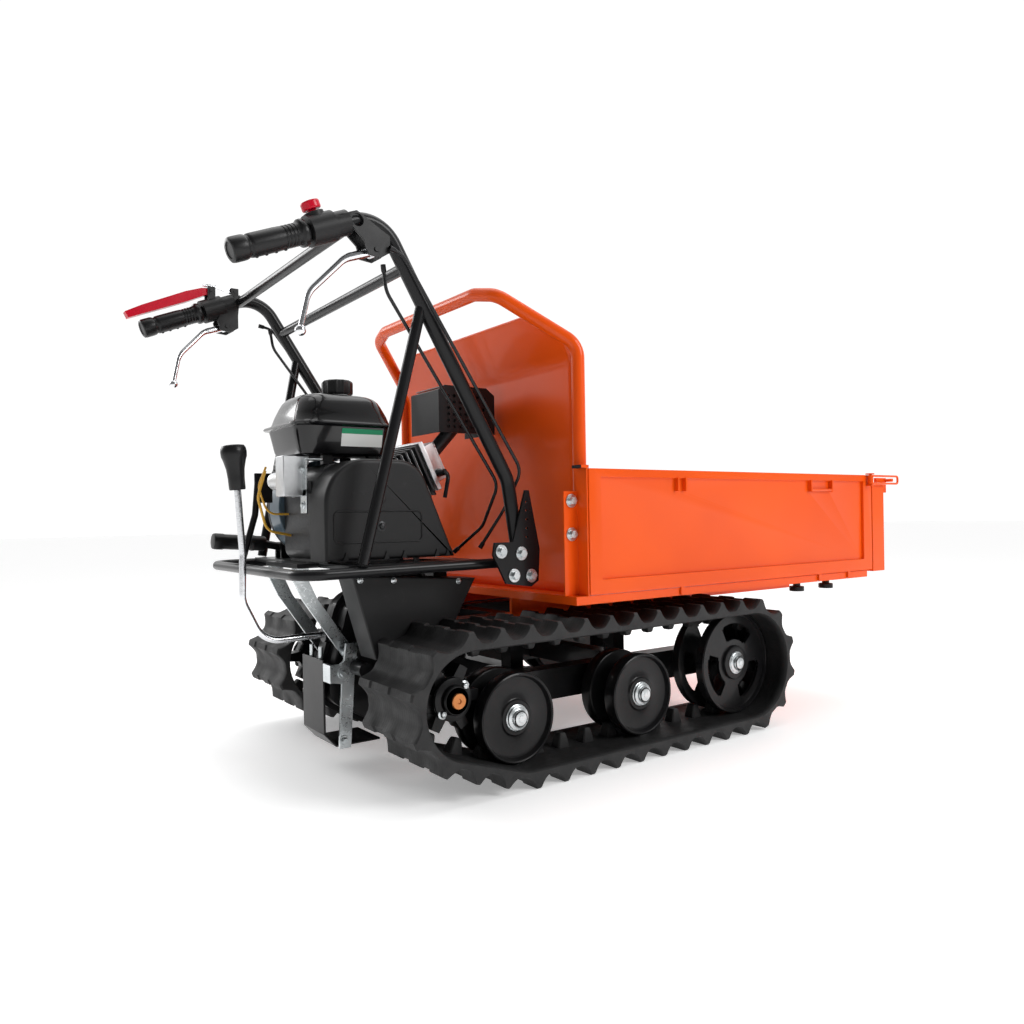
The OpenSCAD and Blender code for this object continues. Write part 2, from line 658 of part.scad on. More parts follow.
module side_rails() color(black) {
    tube_run([[-267, -deck_y, deck_z - 4], [deck_rear, -deck_y, rail_z], [deck_rear, deck_y, rail_z], [-267, deck_y, deck_z - 4]], deck_r, 40);
    for (s = side)
        block([-275, s * deck_y - 7, deck_z - 14], [-222, s * deck_y + 7, deck_z + 6]);
    // Post with its plate for the ignition unit
    tube_run([[deck_rear, 60, rail_z], [deck_rear + 30, 60, 470], [deck_rear + 36, 60, 530]], 6, 20, 12, 3);
    block([deck_rear + 30, 57, 492], [deck_rear + 64, 63, 548]);
}

module grips() color(rubber) for (s = side) {
    a = [grip_start.x, s * grip_y, grip_start.z];
    difference() {
        union() {
            rod(a, a + grip_dir * grip_l, grip_r);
            rod(a + grip_dir * 3, a + grip_dir * 9, grip_r + 3);
        }
        rod(a - grip_dir * 1, a + grip_dir * (grip_l - 4), bar_r);
    }
}

// Clamped housings: a switch box or drive lever mount, and a steering lever bracket, on each side
function lever_pivot(s) = s < 0 ? [-560, 882] : [-622, 868];
drive_pivot = [-652, 940];
housing_r2 = bar_r + 11;
throttle_pivot = [-600, 946];
module control_housings() color(black) {
    for (s = side) {
        p = [bar_bend.x, s * grip_y, bar_bend.z] + grip_dir * 88;
        difference() {
            union() {
                rod(p, p + grip_dir * 44, housing_r2);
                if (s < 0) translate(p + grip_dir * 24) rotate([0, -grip_slope, 0]) cylinder(h = housing_r2 + 1.5, r = 16);
            }
            rod(p - grip_dir, p + grip_dir * 46, bar_r);
            if (s < 0) translate(p + grip_dir * 24) rotate([0, -grip_slope, 0])
                translate([0, 0, bar_r + 1]) cylinder(h = 20, r = 6 + run_gap);
        }
        q = [bar_bend.x, s * grip_y, bar_bend.z] + grip_dir * 62;
        c = lever_pivot(s);
        difference() {
            rod(q, q + grip_dir * 24, bar_r + 7);
            rod(q - grip_dir, q + grip_dir * 26, bar_r);
        }
        difference() {
            for (y = [-17, 13])
                slab(s * grip_y + y, s * grip_y + y + 4) polygon([[q.x - 16, q.z + 6], [q.x + 10, q.z + 16],
                    [c.x + 24, c.y + 24], [c.x + 24, c.y - 2], [c.x + 8, c.y - 12], [c.x - 14, c.y - 10], [c.x - 20, c.y + 10]]);
            // Room for the cross brace
            across([-592, 922], -grip_y - 30, grip_y + 30, brace_r + 0.5);
        }
        across(c, s * grip_y - 19, s * grip_y + 19, 4);
    }
    // Ears and pins of the drive lever and the throttle lever
    for (y = [grip_y - 13, grip_y + 10])
        block([drive_pivot.x - 8, y, 912], [drive_pivot.x + 8, y + 3, drive_pivot.y + 8]);
    across(drive_pivot, grip_y - 14, grip_y + 14, 3);
    difference() {
        block([throttle_pivot.x - 8, grip_y - 4, 936], [throttle_pivot.x + 8, grip_y + 1, throttle_pivot.y + 7]);
        rod([bar_bend.x, grip_y, bar_bend.z], [bar_bend.x, grip_y, bar_bend.z] + grip_dir * 120, bar_r + run_gap);
    }
    across(throttle_pivot, grip_y - 5, grip_y + 7, 3);
}

module steering_lever(s) color(alloy) difference() {
    c = [lever_pivot(s).x, s * grip_y, lever_pivot(s).y];
    union() {
        across([c.x, c.z], c.y - 11, c.y + 11, 9);
        tube_run([c + [-6, 0, -2], c + [-46, -4 * s, -16], c + [-100, -20 * s, -72], c + [-113, -24 * s, -128]], 5, 26);
        translate(c + [-113, -24 * s, -132]) sphere(r = 9, $fn = 32);
    }
    across([c.x, c.z], c.y - 12, c.y + 12, 4 + run_gap);
}
module right_steering_lever() steering_lever(-1);
module left_steering_lever() steering_lever(1);

module drive_lever() color(crimson) difference() {
    union() {
        across(drive_pivot, grip_y - 9, grip_y + 9, 8);
        slab(grip_y - 9, grip_y + 9) polygon([[-646, 946], [-656, 933], [-700, 912], [-816, 864], [-822, 876], [-790, 893], [-704, 932], [-672, 943]]);
    }
    across(drive_pivot, grip_y - 15, grip_y + 15, 3 + run_gap);
}
module throttle_lever() color(alloy) difference() {
    union() {
        across(throttle_pivot, grip_y + 2, grip_y + 6, 8);
        slab(grip_y + 2, grip_y + 6) polygon([[-604, 940], [-600, 954], [-640, 957], [-668, 956], [-668, 950], [-640, 950]]);
    }
    across(throttle_pivot, grip_y, grip_y + 8, 3 + run_gap);
}
module stop_button() color(crimson) {
    p = [bar_bend.x, -grip_y, bar_bend.z] + grip_dir * 112;
    translate(p) rotate([0, -grip_slope, 0]) {
        translate([0, 0, housing_r2 + 5.5]) cylinder(h = 13, r = 15);
        translate([0, 0, bar_r + 7]) cylinder(h = housing_r2 - bar_r, r = 6);
    }
}

// Bowden cables clipped along the handlebars
module control_cables() color(black) {
    for (s = side) {
        tube_run([[-540, s * (grip_y + 22), 886], [-512, s * (grip_y + 17), 880], [-258, s * 266, 540],
                  [-262, s * 215, 470], [-300, s * 190, 400]], 3, 22, 8, 4);
        tube_run([[-530, s * 258, 872], [-524, s * 256, 830], [-286, s * 232, 516], [-286, s * 180, 440],
                  [-318, s * 130, 392]], 3, 22, 8, 4);
    }
}

// ---- Levers near the gearbox ----
gear_z = 248;
gear_y = -50;
selector = [-556, -500];
module gear_lever() color(alloy) {
    tube_run([[selector[0] - 6, gear_y, gear_z], [-668, gear_y, gear_z - 2], [-704, gear_y, 320], [-702, gear_y, 400], [-709, gear_y, 512]], 6, 50);
    translate([selector[0] - 10, gear_y, gear_z]) rotate([0, 90, 0]) cylinder(h = selector[1] - selector[0] - 6, r = 6);
}
module gear_knob() color(black) {
    translate([-709, gear_y, 512]) rotate([0, -5, 0]) {
        cylinder(h = 50, r = 14);
        translate([0, 0, 50]) cylinder(h = 22, r = 22);
        translate([0, 0, 72]) cylinder(h = 6, r = 17);
    }
}
tip_lever_pivot = [-545, 404];
tip_lever_y = 165;
module tip_lever() color(black) {
    difference() {
        union() {
            across(tip_lever_pivot, tip_lever_y - 11, tip_lever_y + 11, 11);
            rod([tip_lever_pivot.x - 8, tip_lever_y, tip_lever_pivot.y + 1], [-600, tip_lever_y, 414], 8);
        }
        across(tip_lever_pivot, tip_lever_y - 12, tip_lever_y + 12, 5 + run_gap);
    }
    rod([-585, tip_lever_y, 412], [-690, tip_lever_y, 420], 16);
}

// ---- Bed ----
module sleeve(x) difference() {
    translate([x - sleeve_w / 2 - sleeve_t, -knob_y - sleeve_l / 2, bar_z - pass_gap - sleeve_t])
        cube([sleeve_w + 2 * sleeve_t, sleeve_l, floor_top - floor_t - bar_z + pass_gap + sleeve_t]);
    translate([x - sleeve_w / 2, -knob_y - sleeve_l / 2 - 1, bar_z - pass_gap])
        cube([sleeve_w, sleeve_l + 2, sleeve_w]);
    // Bore for the lock knob's screw
    translate([x, -knob_y, bar_z - 9.5]) cylinder(h = 9, r = 4 + run_gap);
}
module bed_floor() color(orange) difference() {
    union() {
        difference() {
            block([bed_tail, -lip_y, floor_top - floor_t - lip_h], [bed_front - 16, lip_y, floor_top]);
            block([bed_tail + 3, -lip_y + 3, floor_top - floor_t - lip_h - 1], [bed_front - 19, lip_y - 3, floor_top - floor_t]);
            // Slots in the edge for the side panels' bars
            for (x = bar_x)
                block([x - sleeve_w / 2, -panel_y, bar_z - pass_gap], [x + sleeve_w / 2, panel_y, floor_top - floor_t]);
        }
        // Long rails that rest on the chassis, joined by cross bars
        for (s = side) {
            block([bed_tail + 20, s * bed_rail_y - 12, rail_top + pass_gap], [bed_front - 40, s * bed_rail_y + 12, floor_top - 1]);
            // Lugs that take the tipping pin
            block([tip_x - 16, s * (rail_y + rail_w / 2 + 1), tip_z - 18], [tip_x + 16, s * (rail_y + rail_w / 2 + 9), floor_top - 1]);
            block([tip_x - 16, s * (rail_y - rail_w / 2 - 1), tip_z - 18], [tip_x + 16, s * (rail_y - rail_w / 2 - 9), floor_top - 1]);
            for (x = bar_x)
                if (s < 0) sleeve(x); else left() sleeve(x);
            // Hooks under the rear of the bed
            for (x = [-208, -124]) {
                block([x, s * 160 - 3, 262], [x + 20, s * 160 + 3, floor_top - 1]);
                block([x, s * 141, 262], [x + 20, s * 163, 268]);
            }
        }
        // Gate hinge knuckles
        for (y = [-250, 0, 250]) {
            across([gate_hinge_x, gate_hinge_z], y - 20, y + 20, hinge_r);
            block([bed_front - 22, y - 20, gate_hinge_z - 3], [gate_hinge_x, y + 20, gate_hinge_z + 3]);
            block([bed_front - 22, y - 20, gate_hinge_z - 3], [bed_front - 16, y + 20, floor_top - 1]);
        }
    }
    across([tip_x, tip_z], -200, 200, tip_pin_r + run_gap);
    across([gate_hinge_x, gate_hinge_z], -300, 300, 4);
}

// Outline of the headboard's upper sheet, narrowing towards its top edge
module headboard() color(orange) {
    w = post_y - headboard_r;
    block([post_x - sheet_t / 2, -w, floor_top], [post_x + sheet_t / 2, w, fold_z]);
    h = (sheet_top - fold_z) / cos(sheet_lean);
    translate([post_x, 0, fold_z]) rotate([0, -sheet_lean, 0]) rotate([90, 0, 90])
        translate([0, 0, -sheet_t / 2]) linear_extrude(sheet_t)
            polygon([[-w, -0.8], [w, -0.8], [w - 14, 30], [w - 86, h], [86 - w, h], [14 - w, 30]]);
}
module headboard_tube() color(orange)
    tube_run([[post_x, -post_y, floor_top], [post_x, -post_y, fold_z + 24], [head_x + 12, -head_y - 14, head_top - 24], [head_x, -head_y + 40, head_top - headboard_r],
              [head_x, head_y - 40, head_top - headboard_r], [head_x + 12, head_y + 14, head_top - 24], [post_x, post_y, fold_z + 24], [post_x, post_y, floor_top]], headboard_r, 30);

module corner_posts() color(orange) for (s = side) {
    // Angle post that the side panel closes against, with the bracket behind it
    block([bed_rear - 4, s * (panel_y - panel_t - 3), floor_top], [bed_rear - 1, s * (panel_y - 2), panel_top + 1]);
    block([bed_rear - 35, s * (panel_y - panel_t), floor_top], [bed_rear - 4, s * (panel_y - panel_t - 3), panel_top - 40]);
    block([bed_rear - 16, s * (panel_y - panel_t + 1), panel_top + 0.5], [bed_rear + 2, s * (panel_y - 2), panel_top + 6]);
}

module bed_bolts() color(zinc) {
    for (s = side, z = [424, 484])
        bolt_y([bed_rear - 18, z], s * (panel_y - panel_t), s, 6.5);
    across([gate_hinge_x, gate_hinge_z], -290, 290, 4 - 0.02);
}

module side_panel() color(orange) {
    difference() {
        block([bed_rear, -panel_y, panel_z], [bed_front, -panel_y + panel_t, panel_top]);
        block([bed_rear + 29, -panel_y - 1, panel_z + 26], [bed_front - 34, -panel_y + 6, panel_top - 15]);
        block([bed_rear + 3, -panel_y + 6 + sheet_t, panel_z - 1], [bed_front - 3, -panel_y + panel_t + 1, panel_top - sheet_t]);
    }
    // Telescopic bars under the floor and the brackets that carry them
    for (x = bar_x) {
        block([x - bar_w / 2, -panel_y + 1, bar_z], [x + bar_w / 2, -panel_y + bar_in, bar_z + bar_w]);
        block([x - bar_w / 2, -panel_y, bar_z], [x + bar_w / 2, -panel_y + 3, panel_z + 20]);
    }
    // Stop tabs and a pull handle
    for (x = [50, 72, 484, 564])
        block([x - 2, -panel_y - 3, panel_top - 40], [x + 2, -panel_y + 7, panel_top - 14]);
    rod([483, -panel_y, panel_top - 36], [565, -panel_y, panel_top - 36], 3);
    // Ears and upright pin that carry the latch
    for (z = [latch_z - 15, latch_z + 12])
        block([latch_x - 6, latch_y - 6, z], [latch_x + 6, -panel_y + 1, z + 3]);
    translate([latch_x, latch_y, latch_z - 14]) cylinder(h = 28, r = 3);
}
module right_side_panel() side_panel();
module left_side_panel() left() side_panel();

module front_gate() color(orange) {
    difference() {
        block([gate_x, -panel_y, gate_z], [gate_x + gate_t, panel_y, gate_z + gate_h]);
        block([gate_x + 4, -panel_y + 24, gate_z + 22], [gate_x + gate_t + 1, panel_y - 24, gate_z + gate_h - 22]);
    }
    for (y = [-190, 60, 190])
        difference() {
            union() {
                across([gate_hinge_x, gate_hinge_z], y - 20, y + 20, hinge_r);
                block([gate_hinge_x - 4, y - 20, gate_hinge_z], [gate_hinge_x + 8, y + 20, gate_z + 1]);
            }
            across([gate_hinge_x, gate_hinge_z], y - 21, y + 21, 4 + run_gap);
        }
    // Catch pins that the latches drop over
    for (s = side) across([bed_front + 88, latch_z], s * (panel_y - 20), s * (panel_y + 4), 4);
    for (s = side) block([gate_x + gate_t - 6, s * (panel_y - 20), gate_z + gate_h - 20], [bed_front + 92, s * (panel_y - 14), latch_z + 6]);
}

latch_x = bed_front - 16;
latch_z = 530;
latch_end = bed_front + 104;
latch_y = -panel_y - 8;
module latch() color(orange) {
    difference() {
        translate([latch_x, latch_y, latch_z - 11]) cylinder(h = 22, r = 6);
        translate([latch_x, latch_y, latch_z - 12]) cylinder(h = 24, r = 3 + run_gap);
    }
    tube_run([[latch_x + 4, latch_y, latch_z + 9], [latch_end, latch_y, latch_z + 9],
              [latch_end, latch_y, latch_z - 9], [latch_x + 4, latch_y, latch_z - 9]], 2.5, 6, 8, 3);
}
module right_latch() latch();
module left_latch() left() latch();

module lock_knob(x) color(black) {
    translate([x, -knob_y, bar_z - pass_gap - sleeve_t - 24]) {
        cylinder(h = 11, r = 16);
        cylinder(h = 18, r = 8);
        cylinder(h = 24 + sleeve_t + pass_gap - 0.2, r = 4);
    }
}
module right_lock_knob_rear() lock_knob(knob_x[0]);
module right_lock_knob_front() lock_knob(knob_x[1]);
module left_lock_knob_rear() left() lock_knob(knob_x[0]);
module left_lock_knob_front() left() lock_knob(knob_x[1]);

module chassis_bolts() color(zinc) {
    for (s = side) {
        for (c = gusset_bolts) bolt_y(c, s * (gusset_y + gusset_t), s, 6.5);
    }
    for (z = [190, 70]) bolt_y([-544, z - 6], strap_y[0] - 20, -1, 5);
    for (y = strap_y) bolt_y(strap_top, y - 2.5, -1, 6);
    for (y = [gearbox_y - 20, gearbox_y + 20])
        translate([guard_x[0] + 8, y, 180]) cylinder(h = 46, r = 4);
    tip_pins();
}

chassis_frame();
track_beams();
right_track();
left_track();
gearbox();
gearbox_guard();
support_straps();
upper_belt_cover();
lower_belt_cover();
drive_belt();
engine_block();
cylinder_head();
muffler();
muffler_guard();
fuel_tank();
carburettor();
fan_housing();
recoil_cover();
ignition_leads();
handlebar_frame();
gusset_plates();
side_rails();
grips();
control_housings();
control_cables();
chassis_bolts();
bed_floor();
headboard();
headboard_tube();
corner_posts();
bed_bolts();
right_side_panel();
left_side_panel();
front_gate();
right_latch();
left_latch();
right_lock_knob_rear();
right_lock_knob_front();
left_lock_knob_rear();
left_lock_knob_front();
right_steering_lever();
left_steering_lever();
drive_lever();
throttle_lever();
stop_button();
gear_lever();
gear_knob();
tip_lever();
fuel_cap();
starter_handle();
right_sprocket();
left_sprocket();
right_rear_wheel();
right_front_wheel();
left_rear_wheel();
left_front_wheel();
right_idler();
left_idler();
engine_pulley();
gearbox_pulley();
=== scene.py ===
"""Tracked power wheelbarrow: surfaces, finishes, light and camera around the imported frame.
Metres; +X is the front of the bed, +Y the operator's left, +Z up."""
import json
import math

import bmesh
import bpy
import numpy as np
from mathutils import Matrix, Vector


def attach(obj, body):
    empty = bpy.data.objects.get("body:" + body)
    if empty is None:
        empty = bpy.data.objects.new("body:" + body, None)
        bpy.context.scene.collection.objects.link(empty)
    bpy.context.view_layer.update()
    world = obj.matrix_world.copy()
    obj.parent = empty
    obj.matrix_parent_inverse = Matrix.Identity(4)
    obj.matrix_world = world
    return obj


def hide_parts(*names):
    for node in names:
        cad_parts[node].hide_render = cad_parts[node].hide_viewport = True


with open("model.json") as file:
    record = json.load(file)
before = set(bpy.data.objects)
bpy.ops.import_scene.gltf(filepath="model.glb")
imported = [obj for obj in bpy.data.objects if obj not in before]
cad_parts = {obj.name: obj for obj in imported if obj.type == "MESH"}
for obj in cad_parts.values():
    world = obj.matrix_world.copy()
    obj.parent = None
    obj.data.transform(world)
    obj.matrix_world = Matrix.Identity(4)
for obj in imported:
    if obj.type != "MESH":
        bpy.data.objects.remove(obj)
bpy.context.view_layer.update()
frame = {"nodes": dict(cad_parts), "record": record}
NODES = frame["nodes"]
Y = np.array([0.0, 1.0, 0.0])
SIDES = ((-1, "right"), (1, "left"))


# ---------------------------------------------------------------- camera
def set_camera():
    """Camera from its place, yaw, pitch and roll, at eye height behind the right handlebar."""
    yaw, pitch, roll = 0.591, -0.005, -0.018
    d = np.array([math.cos(pitch) * math.sin(yaw), math.cos(pitch) * math.cos(yaw), math.sin(pitch)])
    right = np.array([math.cos(yaw), -math.sin(yaw), 0.0])
    up = np.cross(right, d)
    x = math.cos(roll) * right + math.sin(roll) * up
    y = -math.sin(roll) * right + math.cos(roll) * up
    data = bpy.data.cameras.new("camera")
    cam = bpy.data.objects.new("camera", data)
    bpy.context.collection.objects.link(cam)
    m = Matrix([list(x), list(y), list(-d)]).transposed().to_4x4()
    m.translation = (-1.1622, -1.4236, 0.4581)
    cam.matrix_world = m
    data.sensor_width = 36.0
    data.lens = 28.43
    data.shift_x = 0.0469
    data.shift_y = 0.0090
    data.clip_start = 0.05
    bpy.context.scene.camera = cam


set_camera()


# ---------------------------------------------------------------- shader maths
class Socket:
    """A value in a material; the operators add Math nodes."""
    def __init__(self, shop, out):
        self.shop, self.out = shop, out

    def _math(self, op, a, b=None, c=None, clamp=False):
        return self.shop.add("ShaderNodeMath", {"operation": op, "use_clamp": clamp}, [a, b, c])

    def __add__(self, b): return self._math("ADD", self, b)
    def __radd__(self, b): return self._math("ADD", b, self)
    def __sub__(self, b): return self._math("SUBTRACT", self, b)
    def __rsub__(self, b): return self._math("SUBTRACT", b, self)
    def __mul__(self, b): return self._math("MULTIPLY", self, b)
    def __rmul__(self, b): return self._math("MULTIPLY", b, self)
    def __truediv__(self, b): return self._math("DIVIDE", self, b)
    def __pow__(self, b): return self._math("POWER", self, b)
    def clamped(self): return self._math("ADD", self, 0.0, clamp=True)
    def above(self, b): return self._math("GREATER_THAN", self, b)
    def fract(self): return self._math("FRACT", self)
    def absolute(self): return self._math("ABSOLUTE", self)
    def sine(self): return self._math("SINE", self)

    def between(self, low, high, to_low=0.0, to_high=1.0):
        """Map the value from low..high to to_low..to_high, clamped."""
        return self.shop.add("ShaderNodeMapRange", {"clamp": True}, {"Value": self, "From Min": low,
                             "From Max": high, "To Min": to_low, "To Max": to_high})


class Shop:
    """One material's node tree."""
    def __init__(self, name):
        self.mat = bpy.data.materials.new(name)
        self.mat.use_nodes = True
        self.tree = self.mat.node_tree
        self.bsdf = self.tree.nodes["Principled BSDF"]
        self.place = self.add("ShaderNodeTexCoord", {}, {}, "Object")

    def add(self, kind, settings, inputs, out=0):
        """Add one node: its settings first, then its sockets' values or links."""
        node = self.tree.nodes.new(kind)
        for key, value in settings.items():
            setattr(node, key, value)
        items = inputs.items() if isinstance(inputs, dict) else enumerate(inputs)
        for key, value in items:
            if value is not None:
                self.feed(node.inputs[key], value)
        return Socket(self, node.outputs[out])

    def feed(self, socket, value):
        if isinstance(value, Socket):
            self.tree.links.new(value.out, socket)
        elif isinstance(value, tuple) and len(value) == 3 and socket.type == "RGBA":
            socket.default_value = (*value, 1.0)
        else:
            socket.default_value = value

    def noise(self, scale, detail=3.0, rough=0.55, where=None):
        return self.add("ShaderNodeTexNoise", {}, {"Vector": where or self.place, "Scale": scale,
                        "Detail": detail, "Roughness": rough})

    def cells(self, scale, feature="F1", where=None):
        return self.add("ShaderNodeTexVoronoi", {"feature": feature}, {"Vector": where or self.place,
                        "Scale": scale}, "Distance")

    def axes(self, vector=None):
        split = self.add("ShaderNodeSeparateXYZ", {}, {"Vector": vector or self.place})
        outs = split.out.node.outputs
        return [Socket(self, outs[i]) for i in range(3)]

    def stretched(self, scale):
        return self.add("ShaderNodeMapping", {}, {"Vector": self.place, "Scale": scale})

    def mix(self, factor, a, b):
        node = self.tree.nodes.new("ShaderNodeMix")
        node.data_type = "RGBA"
        self.feed(node.inputs["Factor"], factor)
        self.feed(node.inputs[6], a)
        self.feed(node.inputs[7], b)
        return Socket(self, node.outputs[2])

    def bump(self, height, strength, distance):
        return self.add("ShaderNodeBump", {}, {"Height": height, "Strength": strength,
            "Distance": distance})

    def set(self, **values):
        for key, value in values.items():
            self.feed(self.bsdf.inputs[key.replace("_", " ")], value)
        return self.mat


def powder_coat(name, base, shade, rough=0.3, coat=0.35, grain=0.10, dust=0.0):
    """Baked powder paint: fine orange peel, slight colour drift, duller in patches, and light dust low down."""
    s = Shop(name)
    drift = s.noise(3.0, 2.0)
    peel = s.noise(520.0, 2.0) * 0.6 + s.noise(140.0, 2.0) * 0.4
    colour = s.mix(drift.between(0.35, 0.7), base, shade)
    if dust:
        low = s.axes()[2].between(0.5, 0.05)
        colour = s.mix((low * s.noise(28.0, 6.0, 0.7).between(0.45, 0.8) * dust).clamped(), colour, (0.16,
            0.14, 0.12))
    return s.set(Base_Color=colour, Roughness=s.noise(9.0, 4.0).between(0.3, 0.75, rough - 0.04,
        rough + 0.07),
                 Coat_Weight=coat, Coat_Roughness=0.08, Specular_IOR_Level=0.18, Normal=s.bump(peel, grain,
                     0.0006))


def moulded(name, base, rough, grain_scale, grain, worn=(0.05, 0.05, 0.053)):
    """Moulded plastic: a fine leathery grain with faint scuffs."""
    s = Shop(name)
    scuff = s.noise(60.0, 8.0, 0.75).between(0.6, 0.78)
    colour = s.mix(scuff * 0.35, base, worn)
    height = s.cells(grain_scale) * 0.5 + s.noise(grain_scale * 0.6, 3.0) * 0.5
    return s.set(Base_Color=colour, Roughness=s.noise(14.0, 3.0).between(0.3, 0.7, rough - 0.05,
        rough + 0.06),
                 Specular_IOR_Level=0.3,
                 Normal=s.bump(height, grain, 0.0004))


def bare_metal(name, base, dull, rough, grain=0.1, stretch=(60.0, 60.0, 60.0), metallic=1.0, spots=0.5):
    """Metal with a drawn or cast grain, clouded tint and duller spots."""
    s = Shop(name)
    cloud = s.noise(22.0, 5.0, 0.6)
    brushed = s.noise(6.0, 4.0, 0.6, s.stretched(stretch))
    colour = s.mix(cloud.between(0.4, 0.75) * spots, base, dull)
    roughness = (brushed.between(0.3, 0.7, rough - 0.07, rough + 0.09) + cloud.between(0.5, 0.8) * 0.08)
    return s.set(Base_Color=colour, Metallic=metallic, Roughness=roughness, Normal=s.bump(brushed, grain,
        0.0003))


def tread_rubber(name):
    """Matt moulded rubber: mottled, with mould lines round its edges and a grey bloom on raised parts."""
    s = Shop(name)
    x, y, z = s.axes()
    bloom = s.noise(18.0, 6.0, 0.7).between(0.5, 0.85)
    colour = s.mix(bloom * 0.55, (0.007, 0.007, 0.0075), (0.030, 0.029, 0.028))
    ribs = ((y * 900.0).sine() * 0.12 + s.noise(160.0, 5.0, 0.65) * 0.9)
    return s.set(Base_Color=colour, Roughness=s.noise(30.0, 4.0).between(0.3, 0.7, 0.52, 0.72),
                 Normal=s.bump(ribs, 0.28, 0.0012))


def glossy_paint(name, base, rough=0.16):
    """Smooth enamel with a clear coat and faint ripples."""
    s = Shop(name)
    ripple = s.noise(70.0, 2.0)
    colour = s.mix(s.noise(7.0, 3.0).between(0.4, 0.8) * 0.6, base, tuple(c * 1.6 + 0.004 for c in base))
    return s.set(Base_Color=colour, Roughness=s.noise(16.0, 4.0).between(0.3, 0.7, rough - 0.03,
        rough + 0.05),
                 Coat_Weight=0.35, Coat_Roughness=0.05, Specular_IOR_Level=0.3, Normal=s.bump(ripple, 0.05,
                     0.0008))


MATERIALS = {
    "orange_paint": powder_coat("orange_paint", (0.86, 0.096, 0.004), (0.76, 0.076, 0.003), 0.32, 0.20,
        0.07),
    "black_paint": powder_coat("black_paint", (0.006, 0.006, 0.0065), (0.010, 0.010, 0.011), 0.30, 0.12,
        0.06, 0.05),
    "black_plastic": moulded("black_plastic", (0.010, 0.010, 0.0105), 0.44, 900.0, 0.12),
    "gloss_black": glossy_paint("gloss_black", (0.0025, 0.0025, 0.003)),
    "track_rubber": tread_rubber("track_rubber"),
    "grip_rubber": moulded("grip_rubber", (0.008, 0.008, 0.0085), 0.32, 500.0, 0.05),
    "zinc": bare_metal("zinc", (0.66, 0.69, 0.70), (0.42, 0.47, 0.48), 0.30, 0.16, (50.0, 50.0, 50.0)),
    "cast_alloy": bare_metal("cast_alloy", (0.70, 0.71, 0.72), (0.40, 0.41, 0.42), 0.40, 0.35, (90.0, 90.0,
        90.0)),
    "polished_alloy": bare_metal("polished_alloy", (0.84, 0.85, 0.87), (0.66, 0.67, 0.70), 0.15, 0.04, (8.0,
        8.0, 90.0)),
    "engine_black": bare_metal("engine_black", (0.035, 0.036, 0.038), (0.016, 0.016, 0.017), 0.38, 0.3,
        (70.0, 70.0, 70.0), 0.5),
    "fan_blue": powder_coat("fan_blue", (0.075, 0.115, 0.15), (0.05, 0.08, 0.105), 0.34, 0.3, 0.08),
    "crimson_plastic": moulded("crimson_plastic", (0.56, 0.004, 0.022), 0.20, 400.0, 0.03, (0.62, 0.05,
        0.06)),
    "lead": moulded("lead", (0.72, 0.40, 0.05), 0.35, 300.0, 0.04, (0.6, 0.36, 0.08)),
    "cable": moulded("cable", (0.010, 0.010, 0.011), 0.25, 700.0, 0.05),
    "label_white": powder_coat("label_white", (0.72, 0.74, 0.72), (0.66, 0.68, 0.66), 0.45, 0.0, 0.03),
    "label_green": powder_coat("label_green", (0.02, 0.28, 0.13), (0.02, 0.24, 0.11), 0.45, 0.0, 0.03),
    "copper": bare_metal("copper", (0.55, 0.22, 0.08), (0.35, 0.12, 0.04), 0.35, 0.2),
}


# ---------------------------------------------------------------- surfaces
def add_mesh(name, verts, faces, slot, body="chassis", crease=35.0):
    """Put points and faces into a mesh whose faces are smooth except across sharp edges."""
    data = bpy.data.meshes.new(name)
    data.from_pydata(np.asarray(verts, float).reshape(-1, 3).tolist(), [], faces)
    data.polygons.foreach_set("use_smooth", [True] * len(data.polygons))
    data.update()
    data.set_sharp_from_angle(angle=math.radians(crease))
    data.materials.append(MATERIALS[slot])
    obj = bpy.data.objects.new(name, data)
    bpy.context.collection.objects.link(obj)
    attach(obj, body)
    slot in SLOTS
    return obj


SLOTS = {m["slot"] for m in frame["record"]["materials"]}


def quads(nu, nv, close_u, close_v, start=0):
    """Faces of a grid of nu rows and nv columns; either way may close on itself."""
    i = np.arange(nu if close_u else nu - 1)[:, None]
    j = np.arange(nv if close_v else nv - 1)[None, :]
    a, b = (i % nu) * nv, ((i + 1) % nu) * nv
    c = (j + 1) % nv
    f = np.stack([a + j, b + j, b + c, a + c], axis=-1).reshape(-1, 4) + start
    return f.tolist()


def join(parts):
    """Join (points, faces) lists into one."""
    verts, faces, n = [], [], 0
    for v, f in parts:
        v = np.asarray(v, float).reshape(-1, 3)
        verts.append(v)
        faces += [[k + n for k in face] for face in f]
        n += len(v)
    return np.vstack(verts), faces


def unit(v):
    return v / np.linalg.norm(v, axis=-1, keepdims=True)


def bent(points, bend, steps=10):
    """Path through the points whose corners are arcs of radius bend, shorter where a leg is short."""
    p = np.asarray(points, float)
    out = [p[0]]
    for a, b, c in zip(p[:-2], p[1:-1], p[2:]):
        u, w = unit(b - a), unit(c - b)
        turn = math.acos(float(np.clip(u @ w, -1, 1)))
        if turn < 0.02:
            out.append(b)
            continue
        reach = min(bend * math.tan(turn / 2), 0.48 * min(np.linalg.norm(b - a), np.linalg.norm(c - b)))
        r = reach / math.tan(turn / 2)
        inward = unit(w - u * (u @ w))
        t = np.linspace(0, turn, steps)[:, None]
        out += list(b - u * reach + r * (np.sin(t) * u + (1 - np.cos(t)) * inward))
    out.append(p[-1])
    return np.array(out)


